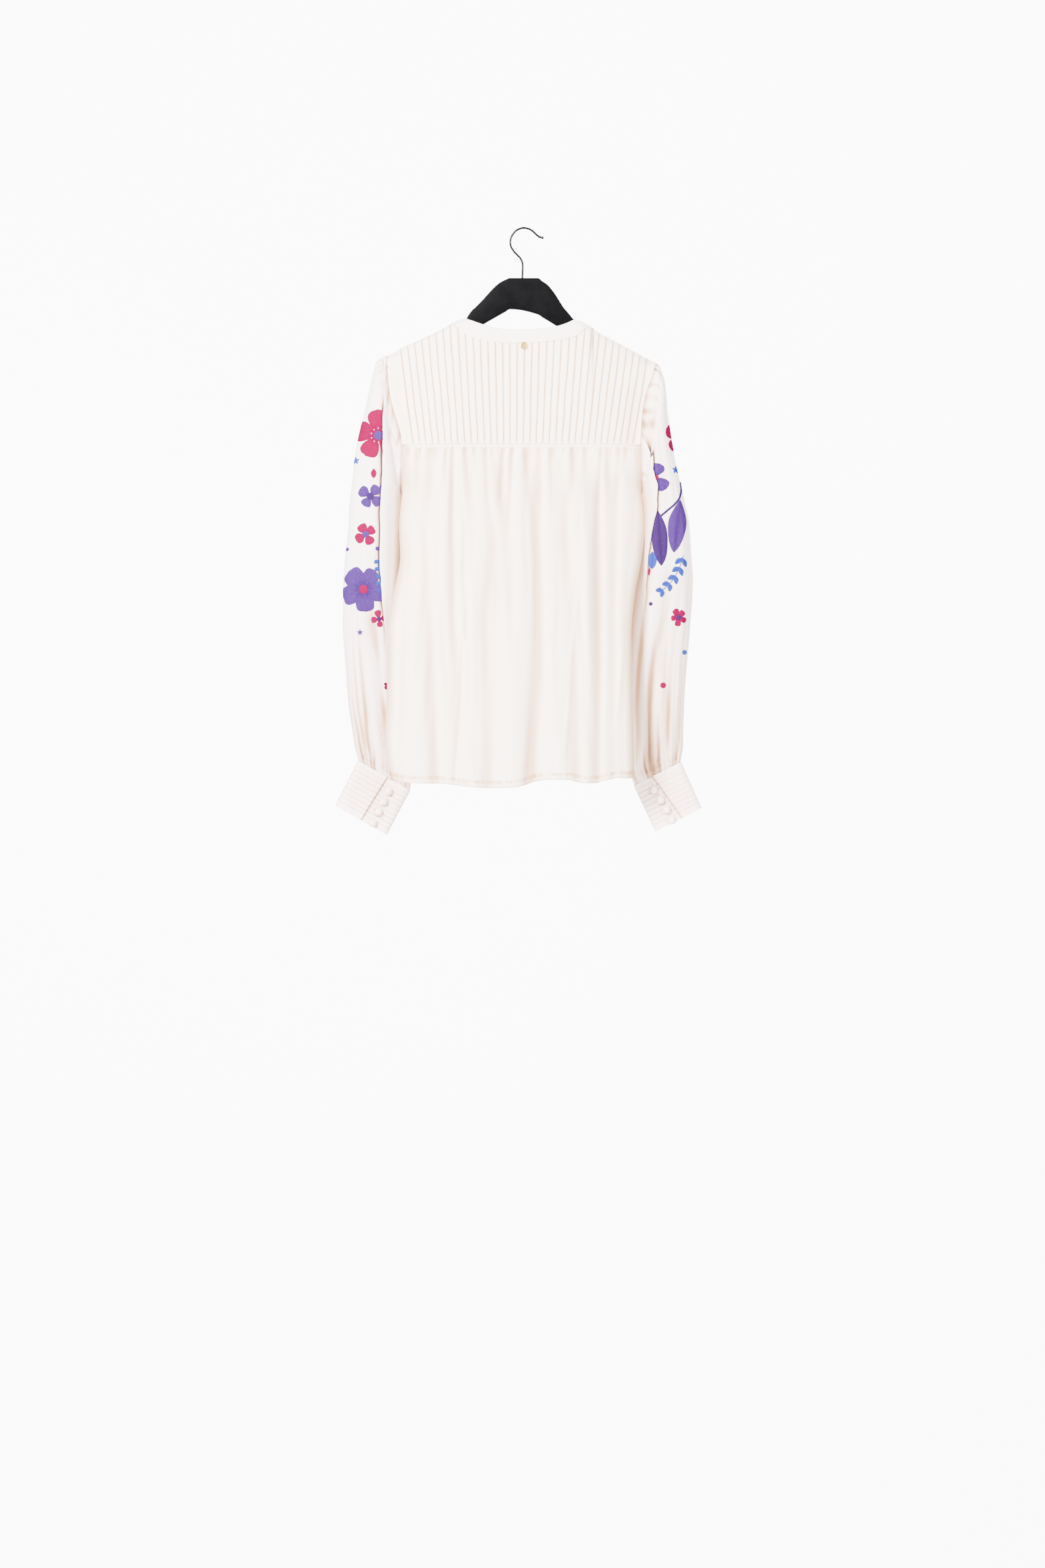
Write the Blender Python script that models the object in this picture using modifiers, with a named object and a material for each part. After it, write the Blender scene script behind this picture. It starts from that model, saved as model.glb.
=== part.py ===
# Long-sleeved blouse with a pintucked back yoke, hung on a flat wooden hanger.
# Lengths in the tables are millimetres. +Z up, the back of the blouse faces +Y, its front -Y.
# The origin is where a rod bears on the inside top of the hook.
import math

import bpy
import numpy as np

MM = 0.001
WALL = 1.2          # cloth wall
SEAM = 0.4          # gap between two pieces along a seam
SIDE_GAP = 0.15     # more at the side seams, each side

# ---------------------------------------------------------------- tables
SHOULDER = {  # top line of the shoulders
    "x": (-204, -185.5, -161.1, -141.2, -121.4, -101.6, -97.5, 97.5, 108.6, 126.9, 145.2, 163.5, 184.9, 204),
    "z": (-191, -185.6, -173.4, -162.7, -152.0, -141.3, -138.6, -131.6, -137.6, -146.6, -155.1, -163.5, -174.9, -184),
}
BAND_BACK = {  # neckband, back half: its two edges seen from behind
    "x_top": (-81.9, -74.6, -61.9, -50.7, -33.8, -5.6, 15.5, 29.6, 43.7, 57.8, 71.9, 81.8),
    "z_top": (-128.4, -127.9, -132.8, -137.0, -139.8, -142.0, -142.2, -141.2, -138.4, -134.1, -128.5, -124.6),
}
ARMHOLE_L = {"z": (-174.9, -189.8, -222.0, -240.4, -302.4, -364.6), "x": (184.9, 187.6, 184.9, 181.5, 166.8, 169.7)}
ARMHOLE_R = {"z": (-185.6, -208.2, -231.2, -258.8, -302.4, -364.6), "x": (-185.5, -178.5, -170.2, -165.6, -163.6, -167.4)}
BODY = {  # below the yoke: the two side edges, depth to the back and the front, and the side seam's own depth
    "z":     (-302.4, -364.6, -405.0, -454.0, -507.0, -562.0, -642.0, -716.0, -748.0, -778.0),
    "left":  (166.8, 169.7, 172.0, 169.7, 178.5, 187.7, 187.7, 191.4, 187.7, 178.0),
    "right": (-163.6, -167.4, -170.6, -166.0, -156.0, -151.0, -152.0, -154.0, -154.6, -155.2),
    "back":  (32.0, 35.0, 37.0, 39.0, 41.0, 43.0, 45.0, 47.0, 48.0, 49.0),
    "front": (30.0, 31.0, 31.0, 31.0, 31.0, 31.0, 32.0, 33.0, 33.0, 33.0),
    "side":  (0.0, 0.0, 1.0, 3.0, 6.0, 9.0, 11.0, 12.0, 12.0, 12.0),
}
HEM = {
    "x": (-156, -143.9, -135.2, -124.2, -111.9, -99.5, -87.2, -74.9, -65.0, -40.4, -28.1, -15.6, -0.9, 18.8, 45.9, 70.6, 95.2, 115, 137.1, 166.6, 181.4, 192),
    "z": (-761.4, -763.3, -762.1, -764.1, -766.5, -769.8, -769.9, -767.7, -765.1, -765.1, -765.8, -767.7, -773.2, -776.1, -776.4, -775.2, -772.0, -770.2, -770.2, -768.3, -764.6, -762),
}
BACK_FOLDS = {  # troughs of the gathered panel: x and depth at three heights, and width
    "x_high": (156.9, 134.3, 89.2, 35.0, -20.2, -57.0, -102.1, -127.5, -154.3),
    "x_mid":  (163.8, 132.9, 94.8, 49.7, -20.2, -69.9, -103.6, -124.8, -144.0),
    "x_low":  (170.0, 122.4, 95.7, 49.7, -12.0, -74.1, -102.1, -125.1, -138.9),
    "d_high": (2.0, 3.0, 3.0, 3.5, 3.5, 2.5, 6.0, 3.0, 2.0),
    "d_mid":  (3.5, 5.5, 4.5, 4.5, 6.0, 4.0, 8.0, 4.0, 3.0),
    "d_low":  (3.0, 7.0, 3.5, 5.0, 9.0, 5.5, 7.0, 3.5, 3.0),
    "width":  (9.0, 13.0, 14.0, 14.0, 13.0, 12.0, 10.0, 9.0, 8.0),
}
FRONT_FOLDS = {
    "x_high": (132.0, 92.0, 52.0, -50.0, -88.0, -126.0),
    "x_mid":  (136.0, 94.0, 54.0, -50.0, -90.0, -122.0),
    "x_low":  (138.0, 98.0, 56.0, -52.0, -92.0, -124.0),
    "d_high": (2.0, 2.5, 2.0, 2.0, 2.5, 2.0),
    "d_mid":  (4.0, 4.5, 3.5, 3.5, 5.0, 4.0),
    "d_low":  (5.0, 5.5, 4.5, 4.5, 6.0, 4.5),
    "width":  (13.0, 14.0, 13.0, 13.0, 14.0, 12.0),
}
TUCKS = 35
TUCK_SEAM, TUCK_TOP, TUCK_TOP_Z = 8.93, 9.96, -185.2   # spacing at the yoke seam and at a height near the top
TUCK_MID_SEAM, TUCK_MID_TOP = -0.9, -2.8
TUCK_RISE, TUCK_LIP = 1.0, 1.9
YOKE_Z = -302.4

FRONT_LAP = 12.5        # each front passes the centre line by this
LAP_STEP = 2.0          # the upper front lies this far out
NECK_FRONT_Z = -236.0
BAND_W = 17.5

SLEEVE_L = {  # one row for a ring: outer end, inner end, depth centre, half depth
    "xo": (185.4, 201.5, 210.5, 219.9, 228.2, 234.5, 239.5, 243.3, 247.5, 250.8, 251.0, 248.0, 244.7, 239.5, 234.0, 230.9),
    "zo": (-175.2, -182.6, -214.0, -257.9, -291.9, -328.0, -374.0, -420.0, -464.0, -510.0, -546.0, -596.0, -645.0, -692.0, -722.0, -736.5),
    "xi": (170.4, 171.4, 172.0, 172.2, 172.3, 172.4, 173.0, 174.0, 173.6, 173.0, 172.0, 170.0, 166.5, 160.0, 155.5, 157.2),
    "zi": (-364.9, -366.0, -368.0, -371.0, -376.0, -386.0, -404.0, -434.0, -474.0, -516.0, -552.0, -604.0, -656.0, -712.0, -752.0, -778.6),
    "yc": (0.0, 0.0, -1.0, -2.0, -4.0, -6.0, -9.0, -14.0, -21.0, -29.0, -36.0, -42.0, -46.0, -49.0, -51.0, -52.0),
    "b":  (0.0, 22.0, 27.0, 29.0, 30.0, 30.0, 30.0, 30.0, 29.0, 27.0, 26.0, 25.0, 25.0, 24.0, 17.0, 9.5),
}
SLEEVE_R = {
    "xo": (-186.0, -192.5, -198.4, -202.1, -208.8, -217.0, -225.0, -232.5, -236.0, -238.3, -236.5, -233.6, -229.5, -226.2, -224.6, -222.5),
    "zo": (-185.9, -196.5, -216.0, -260.6, -302.0, -341.0, -376.0, -410.0, -456.0, -486.0, -520.0, -570.0, -622.0, -684.0, -722.0, -738.5),
    "xi": (-168.2, -169.6, -170.6, -171.6, -172.6, -173.4, -173.6, -172.0, -168.0, -162.0, -156.5, -151.5, -148.0, -146.0, -148.0, -156.0),
    "zi": (-364.9, -366.0, -368.0, -371.0, -376.0, -386.0, -404.0, -434.0, -474.0, -510.0, -546.0, -596.0, -648.0, -706.0, -748.0, -772.0),
    "yc": (0.0, 0.0, -1.0, -2.0, -4.0, -6.0, -9.0, -14.0, -22.0, -31.0, -38.0, -44.0, -48.0, -50.0, -52.0, -52.0),
    "b":  (0.0, 22.0, 27.0, 29.0, 30.0, 30.0, 30.0, 30.0, 29.0, 27.0, 26.0, 25.0, 25.0, 24.0, 17.0, 9.5),
}
SLEEVE_FOLDS = {  # troughs along a sleeve: angle round it (0 outer edge, 90 back, 270 front), depth high, middle and low, width in degrees
    "angle":  (38.0, 66.0, 92.0, 205.0, 240.0, 275.0, 310.0, 340.0),
    "d_high": (0.8, 1.0, 0.8, 1.0, 1.5, 1.5, 1.5, 0.5),
    "d_mid":  (1.2, 2.0, 3.5, 2.0, 3.0, 3.5, 3.0, 1.5),
    "d_low":  (2.5, 4.0, 4.5, 2.5, 4.0, 4.5, 4.0, 2.0),
    "width":  (13.0, 12.0, 13.0, 14.0, 14.0, 15.0, 14.0, 12.0),
}
FOLD_OVER = {"ring": (0, 2, 3, 7, 9, 15), "rise": (0.0, 1.0, 5.0, 5.0, 2.0, 0.0)}  # the plain inner fold of each sleeve's back
FOLD_ANGLE = 100.0

CUFF_L = {"tl": (230.9, -737.6), "tr": (157.2, -779.7), "bl": (262.8, -800.6), "br": (190.2, -842.1), "y": -52.0}
CUFF_R = {"tl": (-222.5, -739.6), "tr": (-156.0, -773.1), "bl": (-251.4, -804.2), "br": (-186.2, -837.4), "y": -52.0}
CUFF_HALF_DEPTH = 9.0
CUFF_TUCKS = 8
CUFF_LAP_L = (0.56, 0.50)   # overlap edge as a share of the width, at the top and at the bottom
CUFF_LAP_R = (0.60, 0.42)
CUFF_BUTTONS_L = ((187.8, -781.0), (194.9, -795.5), (201.8, -809.6), (209.8, -825.4))
CUFF_BUTTONS_R = ((-184.1, -779.1), (-193.6, -793.4), (-202.0, -806.6), (-209.4, -821.7))
FRONT_BUTTONS_Z = (-262.0, -338.0, -414.0, -490.0, -566.0, -642.0, -718.0)
BUTTON_D, BUTTON_H = 9.8, 4.2

HANGER = {  # flat wooden hanger seen from behind: top and underside
    "x":   (-178, -172, -150, -120, -97.5, -88, -82, -77, -72, -64.8, -57.7, -52.1, -46.5, -40.8, -35.2, -28.2, -21.2, 17.5, 23.9, 31.0, 38.0, 43.7, 50.7, 57.8, 64.8, 71.9, 76.5, 79.5, 82.5, 88, 97.5, 120, 150, 172, 178),
    "top": (-189.5, -184.5, -174.0, -159.0, -147.0, -141.5, -137.0, -132.5, -127.0, -117.9, -109.6, -101.1, -91.9, -84.2, -77.8, -73.0, -68.3, -68.3, -70.8, -74.3, -79.9, -85.6, -93.4, -101.1, -108.1, -115.2, -122.0, -128.0, -131.8, -135.4, -140.6, -150.0, -164.0, -175.0, -179.5),
    "low": (-196, -199.5, -189.5, -175.5, -164.0, -159.0, -155.5, -152.5, -149.5, -145.4, -141.2, -137.8, -134.4, -130.9, -127.4, -123.1, -118.8, -111.5, -115.2, -119.2, -123.2, -126.4, -130.4, -134.6, -138.6, -142.6, -145.2, -146.8, -148.5, -151.5, -156.3, -166.5, -180.5, -190.5, -187),
}
HANGER_T = 10.0
HOOK = {
    "x": (0.2, 0.2, -0.3, 2.1, 7.1, 12.7, 16.2, 16.9, 14.8, 9.8, 4.4, -1.5, -8.0, -13.6, -18.5, -22.6, -26.4),
    "z": (-80.0, -66.0, -50.4, -42.0, -36.3, -30.0, -23.6, -16.6, -9.6, -3.2, 0.2, 1.5, 0.4, -2.6, -7.0, -10.6, -12.0),
}
HOOK_R = 1.5
DISC_AT, DISC_D, DISC_T = (-1.4, -165.0), 10.0, 0.8


def smooth(a, b, v):
    t = np.clip((np.asarray(v, float) - a) / (b - a), 0.0, 1.0)
    return t * t * (3 - 2 * t)


def table(rows, key, value, at):
    return np.interp(at, rows[key], rows[value])


def down(rows, value, z):
    """A column of a table whose heights run downwards."""
    return np.interp(-np.asarray(z, float), -np.array(rows["z"], float), rows[value])


# ---------------------------------------------------------------- body form
def shoulder_z(x):
    return table(SHOULDER, "x", "z", x)


def band_low_back(x):
    """Lower edge of the neckband behind: height at x."""
    top = table(BAND_BACK, "x_top", "z_top", np.clip(x * 0.84, -81.8, 81.8))
    return top - BAND_W + 9.6 * smooth(70, 97.5, np.abs(x)) - 0.6 * smooth(0, 60, x) * smooth(97.5, 80, x)


def neck_back_y(x):
    return 25.0 * np.sqrt(np.clip(1 - np.abs(x / 97.5) ** 5, 0, 1))


def top_back(x):
    """The top edge of the yoke."""
    inside = np.abs(x) < 97.5
    return np.where(inside, np.minimum(band_low_back(x), shoulder_z(x)), shoulder_z(x))


def edge_y(drop):
    """Half opening of an armhole, by the drop below its shoulder end."""
    return 9.5 * (1 - np.exp(-drop / 3.0)) + 8.8 * (1 - np.exp(-drop / 60.0))


def back_y(x, z):
    """Depth of the back at x and z, tucks and folds left out."""
    x = np.asarray(x, float)
    z = np.asarray(z, float)
    xl = np.where(z > YOKE_Z, np.interp(-z, -np.array(ARMHOLE_L["z"]), ARMHOLE_L["x"]), down(BODY, "left", z))
    xr = np.where(z > YOKE_Z, np.interp(-z, -np.array(ARMHOLE_R["z"]), ARMHOLE_R["x"]), down(BODY, "right", z))
    u = np.clip((2 * x - xl - xr) / (xl - xr), -1, 1)
    drop = np.maximum(top_back(x) - z, 0)
    neck = neck_back_y(x)
    lip = 9.5 * smooth(80, 104, np.abs(x)) * (1 - np.exp(-drop / 3.0))
    spread = (1 - np.exp(-drop / 60.0)) / (1 - np.exp(-130 / 60.0))
    upper = neck + lip + (32.0 - neck - 9.5 * smooth(80, 104, np.abs(x))) * spread * (1 - np.abs(u) ** 4 * 0.62)
    edge = edge_y(np.maximum(np.where(x > 0, -174.9, -185.6) - z, 0))
    k = smooth(0.86, 1.0, np.abs(u))
    upper = upper * (1 - k) + edge * k
    depth = down(BODY, "back", z)
    side = down(BODY, "side", z) + SIDE_GAP
    hold = smooth(-325.0, -366.0, z)
    rim = edge * (1 - hold) + side * hold
    power = 4.0 - 1.2 * hold
    root = 1.0 - 0.45 * hold
    low = rim + (depth - rim) * np.clip(1 - np.abs(u) ** power, 0, 1) ** root
    blend = smooth(-290.0, -330.0, z)
    return upper * (1 - blend) + low * blend


def neck_front_z(x):
    a = np.clip(np.abs(x) / 97.5, 0, 1)
    return NECK_FRONT_Z + (NECK_FRONT_Z * -1 + np.where(x > 0, -131.6, -138.6)) * (1 - np.clip(1 - a ** 2.2, 0, 1) ** 0.62)


def top_front(x):
    return np.where(np.abs(x) < 97.5, neck_front_z(x), shoulder_z(x))


def neck_front_y(x):
    return 27.0 * np.sqrt(np.clip(1 - (x / 97.5) ** 2, 0, 1))


def front_y(x, z):
    x = np.asarray(x, float)
    z = np.asarray(z, float)
    xl = np.where(z > YOKE_Z, np.interp(-z, -np.array(ARMHOLE_L["z"]), ARMHOLE_L["x"]), down(BODY, "left", z))
    xr = np.where(z > YOKE_Z, np.interp(-z, -np.array(ARMHOLE_R["z"]), ARMHOLE_R["x"]), down(BODY, "right", z))
    u = np.clip((2 * x - xl - xr) / (xl - xr), -1, 1)
    drop = np.maximum(shoulder_z(x) - z, 0)
    lip = 9.5 * (1 - np.exp(-drop / 3.0))
    spread = (1 - np.exp(-drop / 60.0)) / (1 - np.exp(-130 / 60.0))
    upper = lip + (30.0 - 9.5) * spread * (1 - np.abs(u) ** 4 * 0.62)
    edge = edge_y(np.maximum(np.where(x > 0, -174.9, -185.6) - z, 0))
    k = smooth(0.86, 1.0, np.abs(u))
    upper = upper * (1 - k) + edge * k
    depth = down(BODY, "front", z)
    side = down(BODY, "side", z) - SIDE_GAP
    hold = smooth(-325.0, -366.0, z)
    rim = edge * (1 - hold) - side * hold
    low = rim + (depth - rim) * np.clip(1 - np.abs(u) ** (4.0 - 1.2 * hold), 0, 1) ** (1.0 - 0.45 * hold)
    blend = smooth(-290.0, -330.0, z)
    return -(upper * (1 - blend) + low * blend)


def folds(rows, x, z, z_high, z_mid, z_low, z_start):
    """Sum of the troughs of a fold table, as a depth to take off."""
    out = np.zeros(np.broadcast(x, z).shape)
    heights = (-z_high, -z_mid, -z_low)
    for i in range(len(rows["width"])):
        at = np.interp(-z, heights, (rows["x_high"][i], rows["x_mid"][i], rows["x_low"][i]))
        deep = np.interp(-z, heights, (rows["d_high"][i], rows["d_mid"][i], rows["d_low"][i]))
        out = out + deep * np.exp(-((x - at) / rows["width"][i]) ** 2)
    return out * smooth(z_start, z_start - 70.0, z)


# ---------------------------------------------------------------- meshes
def normals_of(grid, wrap):
    """Unit normals of a grid of points, rows by columns."""
    du = np.gradient(grid, axis=1)
    if wrap:
        du = (np.roll(grid, -1, 1) - np.roll(grid, 1, 1)) / 2
    dv = np.gradient(grid, axis=0)
    n = np.cross(du, dv)
    return n / np.maximum(np.linalg.norm(n, axis=2, keepdims=True), 1e-9)


def make_mesh(name, verts, faces, material, collection):
    mesh = bpy.data.meshes.new(name)
    mesh.from_pydata([tuple(float(c) * MM for c in v) for v in verts], [], faces)
    mesh.update()
    obj = bpy.data.objects.new(name, mesh)
    obj.data.materials.append(material)
    collection.objects.link(obj)
    return obj


def cloth(name, grid, material, collection, wrap=False, outward=(0, 0, 0), wall=WALL, rim=None):
    """A wall of cloth: the grid is its outer face, and the inner face is the same grid moved in by the wall."""
    rows, cols = grid.shape[:2]
    n = normals_of(grid, wrap)
    mid = grid.reshape(-1, 3).mean(axis=0)
    want = (grid - mid if not any(outward) else np.broadcast_to(np.array(outward, float), grid.shape))
    if (n * want).sum() < 0:
        n = -n
    if rim == "body":       # the edges along the shoulder and side seams are cut square to the seam
        n[0][np.abs(grid[0, :, 0]) > 97.0] = (0, 0, 1)
        for c in (0, -1):
            for r in range(rows):
                if grid[r, c, 2] < -362.0 and abs(grid[r, c, 0]) > 100.0:
                    n[r, c] = (math.copysign(1.0, grid[r, c, 0]), 0, 0)
                elif r > 0 and abs(grid[r, c, 0]) > 100.0:
                    n[r, c, 0] = 0.0
                    n[r, c] /= np.linalg.norm(n[r, c])
    if rim == "sleeve":
        n[0, :, 0] = 0.0
        n[0] /= np.maximum(np.linalg.norm(n[0], axis=1, keepdims=True), 1e-9)
    inner = grid - n * wall
    verts = np.concatenate([grid.reshape(-1, 3), inner.reshape(-1, 3)])
    faces = []
    half = rows * cols
    span = cols if wrap else cols - 1
    for r in range(rows - 1):
        for c in range(span):
            d = (c + 1) % cols
            a, b, e, f = r * cols + c, r * cols + d, (r + 1) * cols + d, (r + 1) * cols + c
            faces.append((a, b, e, f))
            faces.append((half + f, half + e, half + b, half + a))
    for c in range(span):
        d = (c + 1) % cols
        faces.append((half + c, half + d, d, c))
        k = (rows - 1) * cols
        faces.append((k + c, k + d, half + k + d, half + k + c))
    if not wrap:
        for r in range(rows - 1):
            a, f = r * cols, (r + 1) * cols
            faces.append((a, f, half + f, half + a))
            b, e = a + cols - 1, f + cols - 1
            faces.append((half + b, half + e, e, b))
    q = verts[np.array(faces)]
    volume = np.einsum("ij,ij->", q[:, 0], np.cross(q[:, 1], q[:, 2])) + np.einsum("ij,ij->", q[:, 0], np.cross(q[:, 2], q[:, 3]))
    if volume < 0:
        faces = [tuple(reversed(q)) for q in faces]
    return make_mesh(name, verts, faces, material, collection)


# ---------------------------------------------------------------- pieces as grids
YOKE_ROWS = (0.0, 0.018, 0.06, 0.25, 0.6, 1.0)      # shares of the height from the top edge to the yoke seam
LOW_ROWS = (-320.0, -340.0, -357.0, -364.6)         # down to the underarm
BODY_ROWS = (-405.0, -454.0, -507.0, -562.0, -642.0, -716.0)


def tuck_x(j, z):
    t = (z - YOKE_Z) / (TUCK_TOP_Z - YOKE_Z)
    return (TUCK_MID_SEAM + TUCK_SEAM * j) * (1 - t) + (TUCK_MID_TOP + TUCK_TOP * j) * t


def yoke_columns():
    """(kind, number) for each column, from the left armhole to the right: an edge, a plain one, a tuck's lip or its foot."""
    half = TUCKS // 2
    cols = [("edge", 1), ("plain", 1)]
    for j in range(half, -half - 1, -1):
        side = 1 if j > 0 else -1
        cols += [("lip", j), ("foot", j)] if side > 0 else [("foot", j), ("lip", j)]
    return cols + [("plain", -1), ("edge", -1)]


def yoke_column_x(kind, j, z):
    if kind in ("edge", "plain"):
        rows = ARMHOLE_L if j > 0 else ARMHOLE_R
        x = np.interp(-z, -np.array(rows["z"]), rows["x"])
        if kind == "plain":
            x = (x + tuck_x(j * (TUCKS // 2), z) + j * TUCK_LIP) / 2
        return x
    shift = TUCK_LIP / 2 * (1 if j > 0 else -1)
    x = tuck_x(j, z)
    return x + shift if kind == "lip" else x - shift


def yoke_grid(rows=YOKE_ROWS):
    grid = np.zeros((len(rows), len(yoke_columns()), 3))
    for c, (kind, j) in enumerate(yoke_columns()):
        z_top = -160.0
        for _ in range(12):
            z_top = float(top_back(yoke_column_x(kind, j, z_top)))
        if kind == "edge":
            z_top = -174.9 if j > 0 else -185.6
        z_top -= SEAM
        for r, t in enumerate(rows):
            z = z_top + (YOKE_Z + SEAM / 2 - z_top) * t
            x = float(yoke_column_x(kind, j, z))
            y = float(back_y(x, z))
            if kind == "lip":
                y += TUCK_RISE
            grid[r, c] = (x, y + SEAM / 2, z)
    return grid


def panel_columns(z):
    """x of the columns of the gathered back panel at a height: troughs, crests and the points between."""
    heights = (403.2, 564.2, 747.3)
    at = [np.interp(-z, heights, (BACK_FOLDS["x_high"][i], BACK_FOLDS["x_mid"][i], BACK_FOLDS["x_low"][i])) for i in range(9)]
    left, right = down(BODY, "left", z), down(BODY, "right", z)
    marks = [float(left)] + [float(v) for v in at] + [float(right)]
    out = []
    for a, b in zip(marks, marks[1:]):
        first, last = a == marks[0], b == marks[-1]
        parts = (0.0, 0.2, 0.55) if first else ((0.0, 0.45, 0.8) if last else (0.0, 0.25, 0.5, 0.75))
        out += [a + (b - a) * p for p in parts]
    return out + [marks[-1]]


def panel_grid():
    heights = [YOKE_Z - SEAM / 2, *LOW_ROWS, *BODY_ROWS, None]
    rows = []
    for z in heights:
        xs = np.array(panel_columns(z if z is not None else -768.0))
        zs = np.full(len(xs), z) if z is not None else table(HEM, "x", "z", xs)
        y = back_y(xs, zs)
        u = (2 * xs - xs[0] - xs[-1]) / (xs[0] - xs[-1])
        cover = 1 - smooth(0.90, 1.0, np.abs(u))
        y = y - folds(BACK_FOLDS, xs, zs, -403.2, -564.2, -747.3, -310.0) * cover
        y = y + SEAM / 2 + 1.0 * smooth(-302, -330, zs) * cover
        rows.append(np.stack([xs, y, zs], axis=1))
    return np.array(rows)


FRONT_COLUMNS = (0.0, 0.06, 0.17, 0.30, 0.41, 0.449, 0.458, 0.480, 0.525, 0.60, 0.69, 0.79, 0.895, 1.0)


def front_grid(side):
    """One front, from its side edge to its edge past the centre line."""
    lap = -side * FRONT_LAP
    arm = ARMHOLE_L if side > 0 else ARMHOLE_R
    edge = "left" if side > 0 else "right"

    def x_at(share, z):
        outer = np.interp(-z, -np.array(arm["z"]), arm["x"]) if z > YOKE_Z else float(down(BODY, edge, z))
        return outer + (lap - outer) * share

    grid = []
    for c, share in enumerate(FRONT_COLUMNS):
        z_top = -175.0
        for _ in range(40):
            z_top = 0.5 * z_top + 0.5 * float(top_front(x_at(share, z_top)))
        if c == 0:
            z_top = arm["z"][0]
        z_top -= SEAM
        z_low = float(table(HEM, "x", "z", x_at(share, -768.0)))
        heights = [z_top + (YOKE_Z + SEAM / 2 - z_top) * t for t in YOKE_ROWS] + [*LOW_ROWS, *BODY_ROWS, z_low]
        column = []
        for z in heights:
            x = float(x_at(share, z))
            y = float(front_y(x, z))
            if c > 0:
                y += float(folds(FRONT_FOLDS, np.array(x), np.array(z), -403.2, -564.2, -747.3, -300.0))
            if side < 0:
                y -= LAP_STEP * float(smooth(-34, -16, x))
            column.append((x, y - SEAM / 2, z))
        grid.append(column)
    return np.array(grid).transpose(1, 0, 2)


# neckband: one strip from the left front round the back to the right front
def band_grid():
    low, high = [], []
    left = [p for p in front_grid(1)[0][::-1] if abs(p[0]) < 97.4]
    right = [p for p in front_grid(-1)[0] if abs(p[0]) < 97.4]
    back = (94.5, 86, 74, 56, 38, 19, 0, -19, -38, -56, -74, -86, -94.5)

    def front_points(points):
        for x, y, z in points:
            f = float(smooth(30, 97.5, abs(x)))
            low.append((x, y, z + SEAM))
            high.append((x * (1 - 0.16 * f), (y + 1.0) * (1 - 0.12 * f), z + BAND_W * (1 - 0.55 * f)))

    def side_point(x):
        low.append((x, 0.0, float(shoulder_z(x))))
        high.append((x * 0.84, 0.0, float(table(BAND_BACK, "x_top", "z_top", x * 0.84))))

    front_points(left)
    side_point(97.5)
    for x in back:
        y = float(neck_back_y(x))
        low.append((x, y, float(top_back(x))))
        high.append((x * 0.84, y * 0.92, float(table(BAND_BACK, "x_top", "z_top", x * 0.84))))
    side_point(-97.5)
    front_points(right)
    low, high = np.array(low), np.array(high)
    away = 0.6 + 0.6 * smooth(78, 94, np.abs(low[:, :1]))
    low = low + (high - low) / np.linalg.norm(high - low, axis=1, keepdims=True) * away
    return np.array([high, low + (high - low) * 0.5, low])


def arm_levels(arm):
    """Heights round an armhole, shared with the edges of the yoke, the panel and the front."""
    top = arm["z"][0] - SEAM
    return [top + (YOKE_Z + SEAM / 2 - top) * t for t in YOKE_ROWS] + list(LOW_ROWS)


def sleeve_angles(arm):
    levels = arm_levels(arm)
    mid, half = (levels[0] + levels[-1]) / 2, (levels[0] - levels[-1]) / 2
    back = [math.acos(max(-1.0, min(1.0, (z - mid) / half))) for z in levels]
    return np.array(back + [2 * math.pi - a for a in back[-2:0:-1]])


def sleeve_grid(rows, arm, side, phi):
    """Rings from the armhole to the cuff. The back of a ring is its first half."""
    count, n = len(rows["xo"]), len(phi)
    grid = np.zeros((count, n, 3))
    deg = np.degrees(phi)
    levels = arm_levels(arm)
    mid, half = (levels[0] + levels[-1]) / 2, (levels[0] - levels[-1]) / 2
    for k in range(count):
        o = np.array([rows["xo"][k], rows["zo"][k]])
        i = np.array([rows["xi"][k], rows["zi"][k]])
        c, w = (o + i) / 2, (o - i) / 2
        if k == 0:
            z = mid + half * np.cos(phi)
            x = np.interp(-z, -np.array(arm["z"]), arm["x"])
            back = back_y(x, z) + SEAM / 2
            front = front_y(x, z) - SEAM / 2
            ends = np.abs(np.sin(phi)) < 1e-6
            y = np.where(ends, (back + front) / 2, np.where(np.sin(phi) > 0, back, front))
            grid[k] = np.stack([x + side * (SEAM + 0.2), y, z], axis=1)
            continue
        share = k / (count - 1)
        drop = np.zeros(n)
        for f in range(len(SLEEVE_FOLDS["width"])):
            d = np.interp(share, (0.15, 0.5, 0.9), (SLEEVE_FOLDS["d_high"][f], SLEEVE_FOLDS["d_mid"][f], SLEEVE_FOLDS["d_low"][f]))
            gap = (deg - SLEEVE_FOLDS["angle"][f] + 180) % 360 - 180
            drop = drop + d * np.exp(-(gap / SLEEVE_FOLDS["width"][f]) ** 2)
        drop = drop * smooth(0.0, 0.12, share) * (1 - 0.9 * smooth(0.93, 1.0, share))
        rise = np.interp(k, FOLD_OVER["ring"], FOLD_OVER["rise"])
        lift = rise * np.where((deg > FOLD_ANGLE) & (deg < 170), 1.0, 0.0)
        cx = np.sign(np.cos(phi)) * np.abs(np.cos(phi)) ** 0.82
        sy = np.sign(np.sin(phi)) * np.abs(np.sin(phi)) ** 0.82
        y = rows["yc"][k] + (rows["b"][k] - drop + lift) * sy
        grid[k] = np.stack([c[0] + w[0] * cx, y, c[1] + w[1] * cx], axis=1)
    return grid


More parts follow.
